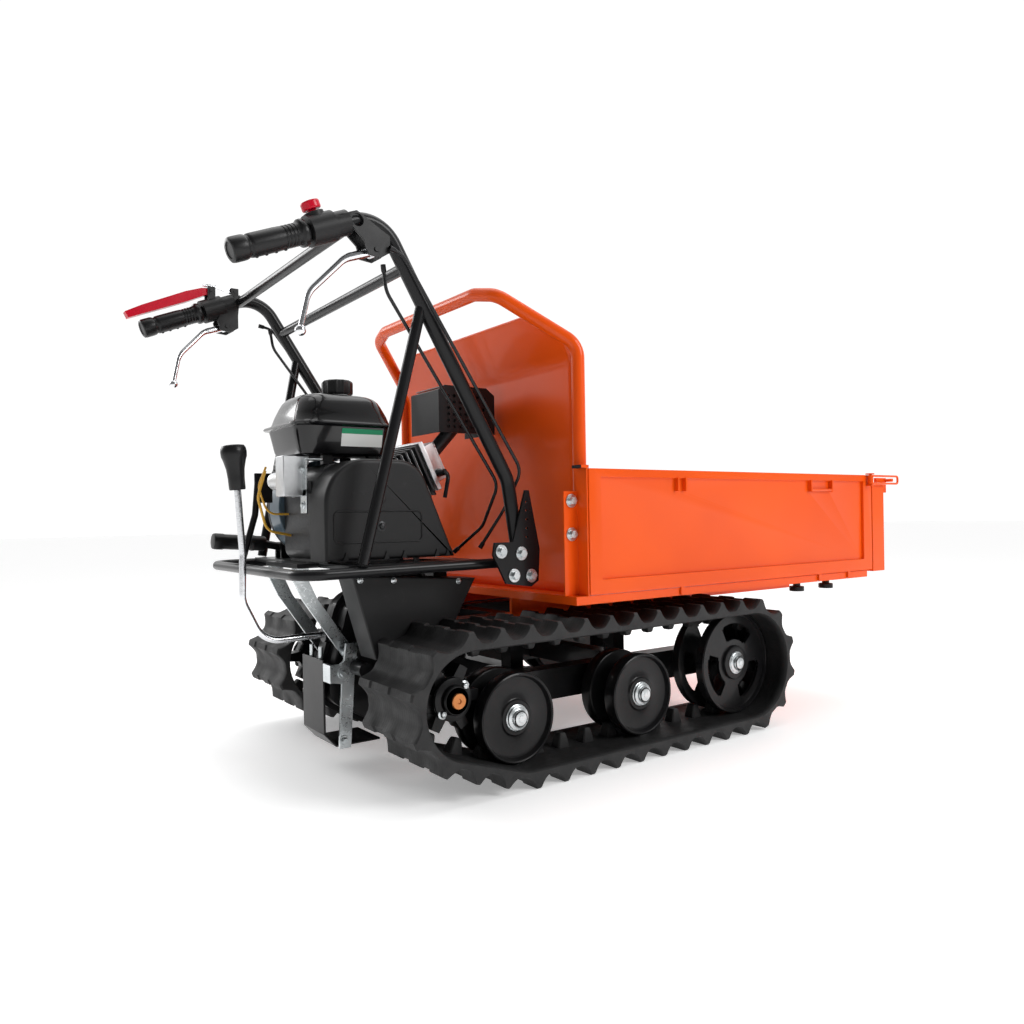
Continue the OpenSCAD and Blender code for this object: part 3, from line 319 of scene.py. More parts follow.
def frames(path, up=(0.31, 0.22, 0.92)):
    """Tangent and two cross directions at each point, carried along without twist."""
    t = unit(np.gradient(path, axis=0))
    v = np.array(up, float)
    rows = []
    for k in t:
        v = unit(v - k * (v @ k))
        rows.append(v)
    v = np.array(rows)
    return t, v, np.cross(t, v)


def tube(path, radius, n=28, caps=True, flat=1.0):
    """Round bar: a circle of the given radius, or of one radius per point, carried along the path;
    the ends close with a small rounded shoulder."""
    path = np.asarray(path, float)
    r = np.broadcast_to(np.asarray(radius, float), (len(path),)).copy()
    if caps:
        t0, t1 = unit(path[1] - path[0]), unit(path[-1] - path[-2])
        e = 0.12 * min(r[0], r[-1])
        path = np.vstack([path[0], path[0] + t0 * e, path[1:-1], path[-1] - t1 * e, path[-1]])
        r = np.concatenate([[r[0] * 0.88, r[0]], r[1:-1], [r[-1], r[-1] * 0.88]])
    t, v, h = frames(path)
    a = np.linspace(0, 2 * math.pi, n, endpoint=False)
    ring = path[:, None] + r[:, None, None] * (np.cos(a)[None, :, None] * v[:,
        None] + flat * np.sin(a)[None, :, None] * h[:, None])
    faces = quads(len(path), n, False, True)
    faces = [f[::-1] for f in faces]
    faces.append(list(range(n)))
    faces.append([(len(path) - 1) * n + k for k in range(n)][::-1])
    return ring.reshape(-1, 3), [f[::-1] for f in faces]


def lathe(profile, centre, axis=Y, n=72, wobble=None):
    """Turned surface: a profile of (radius, distance along the axis) spun round the axis.
    A wobble function of the angle may scale the radius. A closed profile makes a ring."""
    p = np.asarray(profile, float)
    axis = unit(np.asarray(axis, float))
    e1 = unit(np.cross(axis, [0.17, 0.3, 0.94]))
    e2 = np.cross(axis, e1)
    a = np.linspace(0, 2 * math.pi, n, endpoint=False)
    k = np.ones(n) if wobble is None else wobble(a)
    r = p[:, 0][:, None] * k[None, :]
    pts = (np.asarray(centre, float) + r[..., None] * (np.cos(a)[None, :, None] * e1 + np.sin(a)[None, :,
        None] * e2)
           + p[:, 1][:, None, None] * axis)
    faces = quads(len(p), n, False, True)
    if p[0][0] > 1e-6 or p[-1][0] > 1e-6:
        if np.allclose(p[0], p[-1]):
            return pts.reshape(-1, 3), faces
    faces.append(list(range(n))[::-1])
    faces.append([(len(p) - 1) * n + j for j in range(n)])
    return pts.reshape(-1, 3), faces


def tidy(obj, merge=1e-6):
    """Merge doubled points and turn every face outwards."""
    bm = bmesh.new()
    bm.from_mesh(obj.data)
    bmesh.ops.remove_doubles(bm, verts=bm.verts, dist=merge)
    bmesh.ops.recalc_face_normals(bm, faces=bm.faces)
    bm.to_mesh(obj.data)
    bm.free()
    obj.data.set_sharp_from_angle(angle=math.radians(35))
    return obj


def rounded_edges(obj, width, segments=3, angle=30.0):
    """Round the sharp edges with a narrow bevel, so they catch the light."""
    mod = obj.modifiers.new("edges", "BEVEL")
    mod.width, mod.segments, mod.limit_method = width, segments, "ANGLE"
    mod.angle_limit = math.radians(angle)
    mod.harden_normals = False
    mod.use_clamp_overlap = True
    return obj


def finished(node, slot, width=0.0012, body="chassis", segments=2, angle=30.0):
    """The node's own shape as one clean skin: doubles merged, flat faces joined, edges rounded."""
    data = NODES[node].data.copy()
    obj = bpy.data.objects.new(node + "_skin", data)
    bpy.context.collection.objects.link(obj)
    bm = bmesh.new()
    bm.from_mesh(data)
    bmesh.ops.remove_doubles(bm, verts=bm.verts, dist=2e-6)
    bmesh.ops.dissolve_limit(bm, angle_limit=math.radians(1.0), verts=bm.verts, edges=bm.edges)
    bm.to_mesh(data)
    bm.free()
    data.polygons.foreach_set("use_smooth", [True] * len(data.polygons))
    data.set_sharp_from_angle(angle=math.radians(angle + 2))
    data.materials.clear()
    data.materials.append(MATERIALS[slot])
    rounded_edges(obj, width, segments, angle)
    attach(obj, body)
    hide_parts(node)
    return obj


def block(lo, hi):
    """Box between two corners as points and faces."""
    lo, hi = np.minimum(lo, hi), np.maximum(lo, hi)
    c = np.array([[x, y, z] for x in (0, 1) for y in (0, 1) for z in (0, 1)], float)
    f = [[0, 1, 3, 2], [4, 6, 7, 5], [0, 4, 5, 1], [2, 3, 7, 6], [0, 2, 6, 4], [1, 5, 7, 3]]
    return lo + c * (hi - lo), f


def plate(outline, y0, y1):
    """Flat plate: an outline in X and Z carried from y0 to y1."""
    o = np.asarray(outline, float)
    n = len(o)
    a = np.column_stack([o[:, 0], np.full(n, y0), o[:, 1]])
    b = np.column_stack([o[:, 0], np.full(n, y1), o[:, 1]])
    faces = [[k, (k + 1) % n, n + (k + 1) % n, n + k] for k in range(n)]
    return np.vstack([a, b]), faces + [list(range(n))[::-1], [n + k for k in range(n)]]


def bolt(centre, axis, r, thick=None, washer=True):
    """Hexagon head on a washer: two short turned discs and a six-sided head with a crowned top."""
    c, a = np.asarray(centre, float), unit(np.asarray(axis, float))
    t = thick or r * 0.9
    w = 0.25 * r if washer else 0.0
    parts = []
    if washer:
        parts.append(lathe([(0, 0), (r * 1.75, 0), (r * 1.85, w * 0.3), (r * 1.85, w * 0.7), (r * 1.7, w),
            (0, w)], c, a, 36))
    parts.append(lathe([(0, w), (r * 1.12, w), (r * 1.12, w + t * 0.82), (r * 0.92, w + t), (0, w + t)], c,
        a, 6))
    parts.append(lathe([(0, w + t), (r * 0.72, w + t), (r * 0.62, w + t * 1.08), (0, w + t * 1.1)], c, a,
        24))
    return join(parts)


# ---------------------------------------------------------------- tracks
WRAPS = ((0.270, 0.139, 0.107), (-0.438, 0.157, 0.087), (-0.316, 0.111, 0.079))
BELT, LUG, GUIDE, TRACK_W, TRACK_Y = 0.012, 0.020, 0.025, 0.180, 0.276


def belt_line(count):
    """Points, outward directions and distances along the belt's middle line: arcs round the three
    wheels joined by their common tangents, sampled at equal distances."""
    n = len(WRAPS)
    dirs = []
    for i in range(n):
        (x0, z0, r0), (x1, z1, r1) = WRAPS[i], WRAPS[(i + 1) % n]
        d = math.hypot(x1 - x0, z1 - z0)
        dirs.append(math.atan2(z1 - z0, x1 - x0) - math.pi / 2 + math.asin((r0 - r1) / d))
    pts, nor = [], []
    for i in range(n):
        x0, z0, r0 = WRAPS[i]
        a0 = dirs[i - 1]
        a1 = a0 + (dirs[i] - a0) % (2 * math.pi)
        for a in np.linspace(a0, a1, 400):
            pts.append((x0 + (r0 + BELT / 2) * math.cos(a), z0 + (r0 + BELT / 2) * math.sin(a)))
            nor.append((math.cos(a), math.sin(a)))
    pts, nor = np.array(pts), np.array(nor)
    closed = np.vstack([pts, pts[:1]])
    step = np.linalg.norm(np.diff(closed, axis=0), axis=1)
    s = np.concatenate([[0], np.cumsum(step)])
    total = s[-1]
    want = np.linspace(0, total, count, endpoint=False)
    p = np.column_stack([np.interp(want, s, closed[:, k]) for k in (0, 1)])
    m = np.vstack([nor, nor[:1]])
    q = np.column_stack([np.interp(want, s, m[:, k]) for k in (0, 1)])
    return p, unit(q), want, total


def track(side, name):
    """Rubber belt: height over the belt line is a lug profile along the loop, scalloped between narrow
    crowns, and full across the width with a shallow step at each third; the sides are closed."""
    per = 26
    lugs = round(belt_line(8)[3] / 0.060)
    p, q, s, total = belt_line(lugs * per)
    phase = np.abs(((s / (total / lugs)) + 0.0) % 1.0 - 0.5) * 2 * (total / lugs) / 2
    crown, foot = 0.0045, 0.0255
    t = np.clip((phase - crown) / (foot - crown), 0, 1)
    lug = LUG * (1 - t) ** 2.1
    half = TRACK_W / 2
    across = np.array([-half, -half + 0.003, -half + 0.012, -0.050, -0.047, -0.018, -0.015, 0.015, 0.018,
        0.047, 0.050,
                       half - 0.012, half - 0.003, half])
    level = np.array([0.90, 1.0, 1.0, 1.0, 0.86, 0.86, 1.0, 1.0, 0.86, 0.86, 1.0, 1.0, 1.0, 0.90])
    top = BELT / 2 + lug[:, None] * level[None, :]
    top[:, 0] -= 0.0015
    top[:, -1] -= 0.0015
    inner_y = np.array([half, half, half - 0.004, half - 0.016, half - 0.018, 0.0, -half + 0.018,
        -half + 0.016, -half + 0.004, -half, -half])
    inner_h = np.array([0.001, -0.0035, -0.006, -0.006, -0.0048, -0.0048, -0.0048, -0.006, -0.006, -0.0035,
        0.001])
    ys = np.concatenate([across, inner_y])
    hs = np.concatenate([top, np.broadcast_to(inner_h, (len(s), len(inner_h)))], axis=1)
    pts = np.empty((len(s), len(ys), 3))
    pts[..., 0] = p[:, None, 0] + q[:, None, 0] * hs
    pts[..., 2] = p[:, None, 1] + q[:, None, 1] * hs
    pts[..., 1] = side * TRACK_Y + ys[None, :]
    faces = quads(len(s), len(ys), True, True)
    parts = [(pts.reshape(-1, 3), faces)]
    # Drive lugs inside the belt: a tapered block with a waist, one for each tread lug
    k = np.arange(lugs) * per + per // 2
    for i in k:
        c, n = p[i % len(p)], q[i % len(p)]
        tang = np.array([-n[1], n[0]])
        rings = []
        for h, a, w in ((-0.002, 0.0138, 0.0120), (0.006, 0.0122, 0.0112), (0.016, 0.0094, 0.0100), (0.0225,
            0.0076, 0.0086), (0.0248, 0.0058, 0.0066)):
            base = c - n * (BELT / 2 + h)
            ring = []
            for u, v in ((-a, -w * .8), (-a * .8, -w), (a * .8, -w), (a, -w * .8), (a, w * .8), (a * .8, w),
                (-a * .8, w), (-a, w * .8)):
                xz = base + tang * u
                ring.append((xz[0], side * TRACK_Y + v, xz[1]))
            rings.append(ring)
        parts.append((np.array(rings), quads(5, 8, False, True) + [list(range(32, 40))]))
    v, f = join(parts)
    obj = add_mesh(name + "_belt", v, f, "track_rubber", crease=28.0)
    tidy(obj)
    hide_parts(name + "_track")
    return obj


def road_wheel(x, z, side, name):
    """Pair of dished steel discs on one hub, turned about the axle."""
    parts = []
    R = 0.0783
    for d, face in ((-1, 0), (1, 0)):
        # profile distance runs outwards from the wheel's middle plane
        rim = [(0.0105, 0.018), (R - 0.004, 0.018), (R - 0.001, 0.0195), (R, 0.022), (R, 0.0425),
            (R - 0.0008, 0.0448), (R - 0.003, 0.0458),
               (R - 0.0052, 0.0448), (R - 0.006, 0.042), (R - 0.0085, 0.0365), (R - 0.014, 0.0350), (0.034,
                   0.0350), (0.0315, 0.0362), (0.030, 0.0385),
               (0.0245, 0.0392), (0.0235, 0.0385), (0.0105, 0.0385)]
        parts.append(lathe(rim, (x, side * TRACK_Y, z), Y * d, 96))
    parts.append(lathe([(0.0105, -0.03), (0.022, -0.03), (0.022, 0.03), (0.0105, 0.03)], (x, side * TRACK_Y,
        z), Y, 48))
    v, f = join(parts)
    obj = tidy(add_mesh(name + "_discs", v, f, "black_paint", name))
    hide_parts(name)
    bearing = lathe([(0.0105, 0.0385), (0.0232, 0.0385), (0.0232, 0.0402), (0.0222, 0.0410), (0.0195,
        0.0412), (0.0190, 0.0398), (0.0160, 0.0398), (0.0105, 0.0400)],
                    (x, side * TRACK_Y, z), Y * side, 64)
    tidy(add_mesh(name + "_bearing", *bearing, "zinc", name))
    return obj


def idler_wheel(x, z, side, name):
    """Two spoked rims: a disc with three long round-ended windows, cast in polar rows, with a lip."""
    R = 0.1063
    parts = []
    radii = np.array([0.030, 0.040, 0.048, 0.051, 0.062, 0.074, 0.080, 0.083, 0.091, R - 0.006])
    n = 108
    a = np.linspace(0, 2 * math.pi, n, endpoint=False) + math.radians(30)
    for d in (-1, 1):
        lip = [(R - 0.007, 0.030), (R, 0.030), (R, 0.0465), (R - 0.002, 0.049), (R - 0.0055, 0.049),
            (R - 0.007, 0.046), (R - 0.007, 0.030)]
        parts.append(lathe([(r, h - 0.007) for r, h in lip], (x, side * TRACK_Y, z), Y * d, 96))
        hub = [(0.0105, 0.018), (0.036, 0.018), (0.036, 0.038), (0.0345, 0.0405), (0.029, 0.0415), (0.0105,
            0.0415)]
        parts.append(lathe(hub, (x, side * TRACK_Y, z), Y * d, 64))
        for y, flip in ((0.0290, False), (0.0350, True)):
            rr, aa = np.meshgrid(radii, a, indexing="ij")
            pts = np.stack([x + rr * np.cos(aa), np.full_like(rr, side * TRACK_Y + d * y),
                z + rr * np.sin(aa)], -1)
            rows = []
            for i in range(len(radii) - 1):
                for j in range(n):
                    third = (j % 36) / 36.0
                    span = 0.10 if 3 <= i <= 5 else 0.14
                    if 2 <= i <= 6 and span < third < 0.72 - span + 0.10:
                        continue
                    b = (j + 1) % n
                    rows.append([i * n + j, (i + 1) * n + j, (i + 1) * n + b, i * n + b])
            parts.append((pts.reshape(-1, 3), rows))
    v, f = join(parts)
    obj = tidy(add_mesh(name + "_rims", v, f, "black_paint", name))
    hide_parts(name)
    ring = lathe([(0.0105, 0.0415), (0.0235, 0.0415), (0.0235, 0.0428), (0.0215, 0.0434), (0.019, 0.0430),
        (0.0105, 0.0430)],
                 (x, side * TRACK_Y, z), Y * side, 64)
    tidy(add_mesh(name + "_bearing", *ring, "zinc", name))
    return obj


def axle_caps():
    """Domed hexagon heads on washers at each wheel axle."""
    parts = []
    for side, _ in SIDES:
        for x, z in ((-0.014, 0.111), (-0.316, 0.111), (0.270, 0.139)):
            c = (x, side * (TRACK_Y + 0.0418), z)
            parts.append(lathe([(0, 0), (0.0205, 0), (0.0212, 0.0006), (0.0212, 0.0028), (0.0196, 0.0038),
                (0, 0.0038)], c, Y * side, 48))
            parts.append(lathe([(0, 0.0038), (0.0148, 0.0038), (0.0146, 0.0072), (0.0118, 0.0102), (0.0070,
                0.0112), (0, 0.0114)], c, Y * side, 40))
            parts.append(lathe([(0.0072, 0.0108), (0.0062, 0.0118), (0, 0.0118)], c, Y * side, 6))
    v, f = join(parts)
    tidy(add_mesh("axle_caps", v, f, "zinc"))


def sprocket_face(side, name):
    """Flange, shaft end and two bolts on the outer face of the drive wheel."""
    c = np.array([-0.438, side * (TRACK_Y + 0.022), 0.157])
    parts = [lathe([(0, 0), (0.036, 0), (0.0365, 0.002), (0.036, 0.006), (0.030, 0.008), (0.026, 0.0085),
        (0.0245, 0.016), (0.022, 0.018), (0.0135, 0.018), (0, 0.018)], c, Y * side, 56)]
    tidy(add_mesh(name + "_flange", *join(parts), "black_paint", name))
    tidy(add_mesh(name + "_shaft_end", *lathe([(0, 0.018), (0.0132, 0.018), (0.0136, 0.0225), (0.0125,
        0.0236), (0.004, 0.0238), (0.003, 0.0222), (0, 0.022)], c, Y * side, 40), "copper", name))
    heads = [bolt(c + [0.030 * math.cos(a), 0, 0.030 * math.sin(a)] + Y * side * 0.006, Y * side,
        0.0048) for a in (0.75, 3.9)]
    tidy(add_mesh(name + "_flange_bolts", *join(heads), "zinc", name))


def undercarriage():
    for side, name in SIDES:
        track(side, name)
        road_wheel(-0.316, 0.111, side, name + "_rear_wheel")
        road_wheel(-0.014, 0.111, side, name + "_front_wheel")
        idler_wheel(0.270, 0.139, side, name + "_idler")
        finished(name + "_sprocket", "black_paint", 0.002, name + "_sprocket")
        sprocket_face(side, name + "_sprocket")
    axle_caps()
    finished("track_beams", "black_paint", 0.003)
    finished("chassis_frame", "black_paint", 0.0025)


# ---------------------------------------------------------------- bed
def headboard():
    """Sheet bent over a soft fold: straight up, an arc of 60 mm, then leaning back; its width keeps
    inside the tube and rounds in at the top."""
    x0, fold, lean, top = -0.162, 0.745, math.radians(29), 0.835
    z1 = fold - 0.060 * math.tan(lean / 2)
    s_flat = np.linspace(0.314, z1, 22)
    arc = np.linspace(0, lean, 14)
    length = (top - fold) / math.cos(lean)
    s_lean = np.linspace(0, length - 0.060 * math.tan(lean / 2), 18)[1:]
    xs = np.concatenate([np.full(22, x0), x0 - 0.060 * (1 - np.cos(arc[1:])),
        x0 - 0.060 * (1 - math.cos(lean)) - s_lean * math.sin(lean)])
    zs = np.concatenate([s_flat, z1 + 0.060 * np.sin(arc[1:]),
        z1 + 0.060 * math.sin(lean) + s_lean * math.cos(lean)])
    w = 0.304 * np.ones(len(zs))
    over = np.clip((zs - 0.772) / (top - 0.772), 0, 1)
    w -= 0.078 * over ** 1.5
    t = np.linspace(-1, 1, 41)
    pts = np.stack([np.broadcast_to(xs[:, None], (len(xs), 41)), w[:, None] * t[None, :],
        np.broadcast_to(zs[:, None], (len(xs), 41))], -1).copy()
    obj = add_mesh("headboard_sheet", pts, quads(len(xs), 41, False, False), "orange_paint", "bed")
    solid = obj.modifiers.new("wall", "SOLIDIFY")
    solid.thickness, solid.offset = 0.003, 0.0
    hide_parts("headboard")
    pf, pt, ht = 0.359 - 0.028 - 0.0035 - 0.0125, 0.745 + 0.024, 0.888
    hx, hy = -0.292, 0.215
    path = [(x0, -pf, 0.3145), (x0, -pf, pt), (hx + 0.012, -hy - 0.014, ht - 0.024), (hx, -hy + 0.040,
        ht - 0.0125),
            (hx, hy - 0.040, ht - 0.0125), (hx + 0.012, hy + 0.014, ht - 0.024), (x0, pf, pt), (x0, pf,
                0.3145)]
    v, f = tube(bent(path, 0.045, 14), 0.0124, 36)
    tidy(add_mesh("headboard_bar", v, f, "orange_paint", "bed"))
    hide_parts("headboard_tube")


POST_CAP_Z = 0.5414


def bed():
    headboard()
    finished("bed_floor", "orange_paint", 0.0012, "bed")
    posts = finished("corner_posts", "orange_paint", 0.0010, "bed")
    posts.data.materials.append(MATERIALS["black_plastic"])
    for face in posts.data.polygons:
        if face.center.z > POST_CAP_Z:
            face.material_index = 1
    finished("bed_bolts", "zinc", 0.0006, "bed")
    finished("front_gate", "orange_paint", 0.0022, "front_gate", 3)
    for side, name in SIDES:
        finished(name + "_side_panel", "orange_paint", 0.0018, name + "_side_panel", 3)
        for end in ("rear", "front"):
            finished(name + "_lock_knob_" + end, "black_plastic", 0.0012, name + "_lock_knob_" + end)
        y = side * 0.367
        loop = bent([(0.716, y, 0.539), (0.832, y, 0.539), (0.832, y, 0.521), (0.716, y, 0.521)], 0.006, 8)
        parts = [tube(loop, 0.0025, 16), lathe([(0.0031, -0.011), (0.0055, -0.011), (0.006, -0.0105),
            (0.006, 0.0105), (0.0055, 0.011), (0.0031, 0.011), (0.0031, -0.011)], (0.712, y, 0.530), (0, 0,
            1), 32)]
        obj = tidy(add_mesh(name + "_latch_loop", *join(parts), "orange_paint", name + "_latch"))
        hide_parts(name + "_latch")


# ---------------------------------------------------------------- engine
def pillow_cover(outline, y_in, y_out, edge, steps=6):
    """Moulded cover: an outline in X and Z drawn out from y_in, turning over a rounded shoulder of the
    given edge radius into a flat face at y_out."""
    o = np.asarray(outline, float)
    nxt, prv = np.roll(o, -1, 0), np.roll(o, 1, 0)
    e1, e0 = unit(nxt - o), unit(o - prv)
    n1, n0 = np.column_stack([e1[:, 1], -e1[:, 0]]), np.column_stack([e0[:, 1], -e0[:, 0]])
    area = 0.5 * np.sum(o[:, 0] * nxt[:, 1] - nxt[:, 0] * o[:, 1])
    sign = 1 if area > 0 else -1
    miter = unit(n0 + n1)
    miter = miter / np.clip((miter * n0).sum(1, keepdims=True), 0.5, 1)
    rings = []
    for k in np.linspace(0, math.pi / 2, steps):
        inset, drop = edge * (1 - math.cos(k)), edge * math.sin(k)
        ring = o - sign * miter * inset
        rings.append(np.column_stack([ring[:, 0], np.full(len(o),
            y_out + (edge - drop) * np.sign(y_in - y_out)), ring[:, 1]]))
    flat = o - sign * miter * (edge + 0.003)
    rings.append(np.column_stack([flat[:, 0], np.full(len(o), y_out), flat[:, 1]]))
    back = np.column_stack([o[:, 0], np.full(len(o), y_in), o[:, 1]])
    rings = [back] + rings
    pts = np.array(rings)
    m = len(o)
    faces = quads(len(rings), m, False, True) + [[(len(rings) - 1) * m + k for k in range(m)],
        list(range(m))[::-1]]
    return pts.reshape(-1, 3), faces


def arc(cx, cz, r, a0, a1, n=12):
    t = np.radians(np.linspace(a0, a1, n))
    return [(cx + r * math.cos(k), cz + r * math.sin(k)) for k in t]


def belt_covers():
    """Upper arched cover and lower plate cover, with their raised frame, bolts and stiffening ribs."""
    upper = [(-0.609, 0.388)] + arc(-0.531, 0.483, 0.078, 180, 90, 16) + [(-0.480, 0.561)] + arc(-0.468,
        0.501, 0.060, 88, 22, 10) + \
            [(-0.363, 0.408), (-0.356, 0.396), (-0.355, 0.388)]
    v, f = pillow_cover(upper, -0.1255, -0.190, 0.007)
    obj = tidy(add_mesh("upper_cover", v, f, "black_plastic"))
    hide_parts("upper_belt_cover")
    lower = [(-0.560, 0.362), (-0.306, 0.345), (-0.392, 0.202), (-0.517, 0.215)]
    v, f = pillow_cover(lower, -0.1255, -0.184, 0.004)
    obj = tidy(add_mesh("lower_cover", v, f, "black_plastic"))
    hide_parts("lower_belt_cover")
    r = 0.009
    ring = []
    for cx, cz, a in ((-0.425 - r, 0.471 - r, 0), (-0.594 + r, 0.471 - r, 90), (-0.594 + r, 0.418 + r, 180),
        (-0.425 - r, 0.418 + r, 270)):
        ring += arc(cx, cz, r, a, a + 90, 8)
    ring = np.array([(x, -0.1902, z) for x, z in ring])
    loop = np.vstack([ring, ring[:1]])
    v, f = tube(loop, 0.0016, 10, caps=False)
    parts = [(v, f)]
    for x in (-0.574, -0.497, -0.462, -0.395, -0.372):
        parts.append(plate([(x - 0.005, 0.389), (x + 0.005, 0.389), (x, 0.402)], -0.1885, -0.1925))
    parts.append(lathe([(0, 0), (0.006, 0), (0.006, 0.0012), (0.0045, 0.002), (0, 0.002)], (-0.502, -0.190,
        0.491), -Y, 24))
    tidy(add_mesh("cover_mouldings", *join(parts), "black_plastic"))
    heads = [bolt((-0.505, -0.190, 0.445), -Y, 0.0048)]
    tidy(add_mesh("cover_bolt", *join(heads), "engine_black"))
    screws = [bolt(p, -Y, 0.0030) for p in ((-0.545, -0.184, 0.354), (-0.480, -0.184, 0.350), (-0.345,
        -0.184, 0.341), (-0.505, -0.184, 0.223))]
    tidy(add_mesh("cover_screws", *join(screws), "zinc"))


def tank():
    """Pressed tank: rounded-rectangle rings stacked upwards, drawn in at the foot, with a rolled seam
    at half height and a crowned top."""
    cx, cy, z0, L, W, H = -0.527, -0.035, 0.572, 0.100, 0.090, 0.118
    levels = [(0.0, -0.022, 0.020), (0.003, -0.016, 0.024), (0.012, -0.012, 0.028), (0.050, -0.004, 0.032),
              (0.052, 0.0035, 0.034), (0.054, 0.0048, 0.034), (0.0565, 0.0035, 0.034), (0.058, -0.004,
                  0.034),
              (0.062, -0.007, 0.034), (0.075, -0.011, 0.034), (0.092, -0.018, 0.034), (0.100, -0.022,
                  0.034),
              (0.106, -0.027, 0.034), (0.110, -0.034, 0.034), (0.1125, -0.044, 0.030), (0.114, -0.060,
                  0.018),
              (0.1155, -0.076, 0.006)]
    rings = []
    for h, out, r in levels:
        ring = []
        lx, ly = L + out, W + out
        for sx, sy, a in ((1, 1, 0), (-1, 1, 90), (-1, -1, 180), (1, -1, 270)):
            ring += arc(sx * (lx - r), sy * (ly - r), r, a, a + 90, 10)
        rings.append([(cx + x, cy + y, z0 + h) for x, y in ring])
    pts = np.array(rings)
    m = pts.shape[1]
    faces = quads(len(levels), m, False, True) + [list(range(m))[::-1],
        [(len(levels) - 1) * m + k for k in range(m)]]
    obj = tidy(add_mesh("fuel_tank_shell", pts, faces, "gloss_black"))
    neck = [lathe([(0.0, 0.0), (0.0225, 0.0), (0.0225, 0.0075), (0.0, 0.0078)], (-0.511, cy, 0.690), (0, 0,
        1), 40)]
    for y in (cy - 0.062, cy + 0.050):
        for x in (-0.570, -0.480):
            neck.append(block((x, y, 0.556), (x + 0.020, y + 0.012, 0.5745)))
    rounded_edges(tidy(add_mesh("tank_feet", *join(neck), "gloss_black")), 0.001)
    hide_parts("fuel_tank")
    wobble = lambda a: 1 + 0.055 * np.exp(-((np.abs(((a * 12 / (2 * math.pi)) % 1) - 0.5) - 0.5) / 0.16) ** 2)
    cap = lathe([(0.0228, 0.001), (0.0265, 0.001), (0.0275, 0.003), (0.0277, 0.0215), (0.0268, 0.0245),
        (0.0245, 0.0265), (0.018, 0.0262), (0.016, 0.0250), (0, 0.0250)],
                (-0.511, cy, 0.690), (0, 0, 1), 144, wobble)
    obj = tidy(add_mesh("filler_cap", *cap, "black_plastic", "fuel_cap"))
    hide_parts("fuel_cap")


def engine():
    belt_covers()
    tank()
    for node, slot, w in (("engine_block", "engine_black", 0.0012), ("cylinder_head", "cast_alloy", 0.002),
        ("muffler", "engine_black", 0.003),
                          ("muffler_guard", "black_paint", 0.0022), ("carburettor", "cast_alloy", 0.003),
                              ("fan_housing", "fan_blue", 0.002),
                          ("recoil_cover", "black_plastic", 0.004), ("gearbox", "black_paint", 0.003),
                              ("gearbox_guard", "black_paint", 0.0012),
                          ("support_straps", "zinc", 0.0014), ("drive_belt", "track_rubber", 0.0008)):
        finished(node, slot, w)
    finished("engine_pulley", "cast_alloy", 0.001, "engine_pulley")
    finished("gearbox_pulley", "cast_alloy", 0.001, "gearbox_pulley")
    finished("starter_handle", "black_plastic", 0.001, "starter_handle")
    leads()
    cylinder_details()
    tank_label()


CRANK = np.array([-0.500, 0.0, 0.480])
BORE = math.radians(26)


def on_bore(x, y, z):
    """Point given along the leaning cylinder: x up the bore, z across it."""
    return CRANK + [x * math.cos(BORE) - z * math.sin(BORE), y, x * math.sin(BORE) + z * math.cos(BORE)]


def leads():
    """Thin wires at the back of the engine and the thick lead with its boot at the spark plug."""
    wires = [tube(bent([(-0.648, -0.020, 0.548), (-0.660, -0.012, 0.500), (-0.640, 0, 0.440), (-0.586,
        0.020, 0.430)], 0.030, 12), 0.0025, 16),
             tube(bent([(-0.640, -0.002, 0.556), (-0.652, 0.008, 0.520), (-0.630, 0.020, 0.470), (-0.586,
                 0.030, 0.470)], 0.030, 12), 0.0020, 16)]
    obj = tidy(add_mesh("thin_wires", *join(wires), "lead"))
    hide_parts("ignition_leads")
    path = bent([on_bore(0.192, -0.081, -0.020), on_bore(0.192, -0.119, -0.020), on_bore(0.160, -0.119,
        -0.060)], 0.018, 12)
    boot = tube([path[0], path[0] + [0, -0.022, 0]], [0.0085, 0.0065], 24)
    tidy(add_mesh("plug_lead", *join([tube(path, 0.004, 18), boot]), "cable"))


def leaning_block(lo, hi):
    """Box whose corners are given in the leaning cylinder's directions."""
    points, faces = block(lo, hi)
    return np.array([on_bore(*p) for p in np.asarray(points, float).reshape(-1, 3)]), faces


def cylinder_details():
    """Thin alloy fins between the cast ones, fins on the head, and the zinc straps behind the tank."""
    y = -0.035
    fins = [leaning_block((0.089 + 0.012 * k, y - 0.056, -0.048), (0.0910 + 0.012 * k, y + 0.056,
        0.047)) for k in range(6)]
    fins += [leaning_block((0.206, y - 0.040 + 0.010 * k, -0.030), (0.212, y - 0.0375 + 0.010 * k,
        0.036)) for k in range(9)]
    rounded_edges(tidy(add_mesh("thin_fins", *join(fins), "cast_alloy")), 0.0004, 2)
    straps = [block((-0.606, -0.104, 0.470), (-0.603, -0.078, 0.566)), block((-0.606, -0.104, 0.563),
        (-0.574, -0.078, 0.566)),
              block((-0.606, -0.060, 0.500), (-0.603, -0.040, 0.566)), block((-0.606, -0.104, 0.500),
                  (-0.603, -0.040, 0.512))]
    rounded_edges(tidy(add_mesh("tank_straps", *join(straps), "zinc")), 0.0006, 2)
    heads = [bolt((-0.606, -0.091, z), (-1, 0, 0), 0.0040) for z in (0.484, 0.548)]
    tidy(add_mesh("tank_strap_bolts", *join(heads), "zinc"))


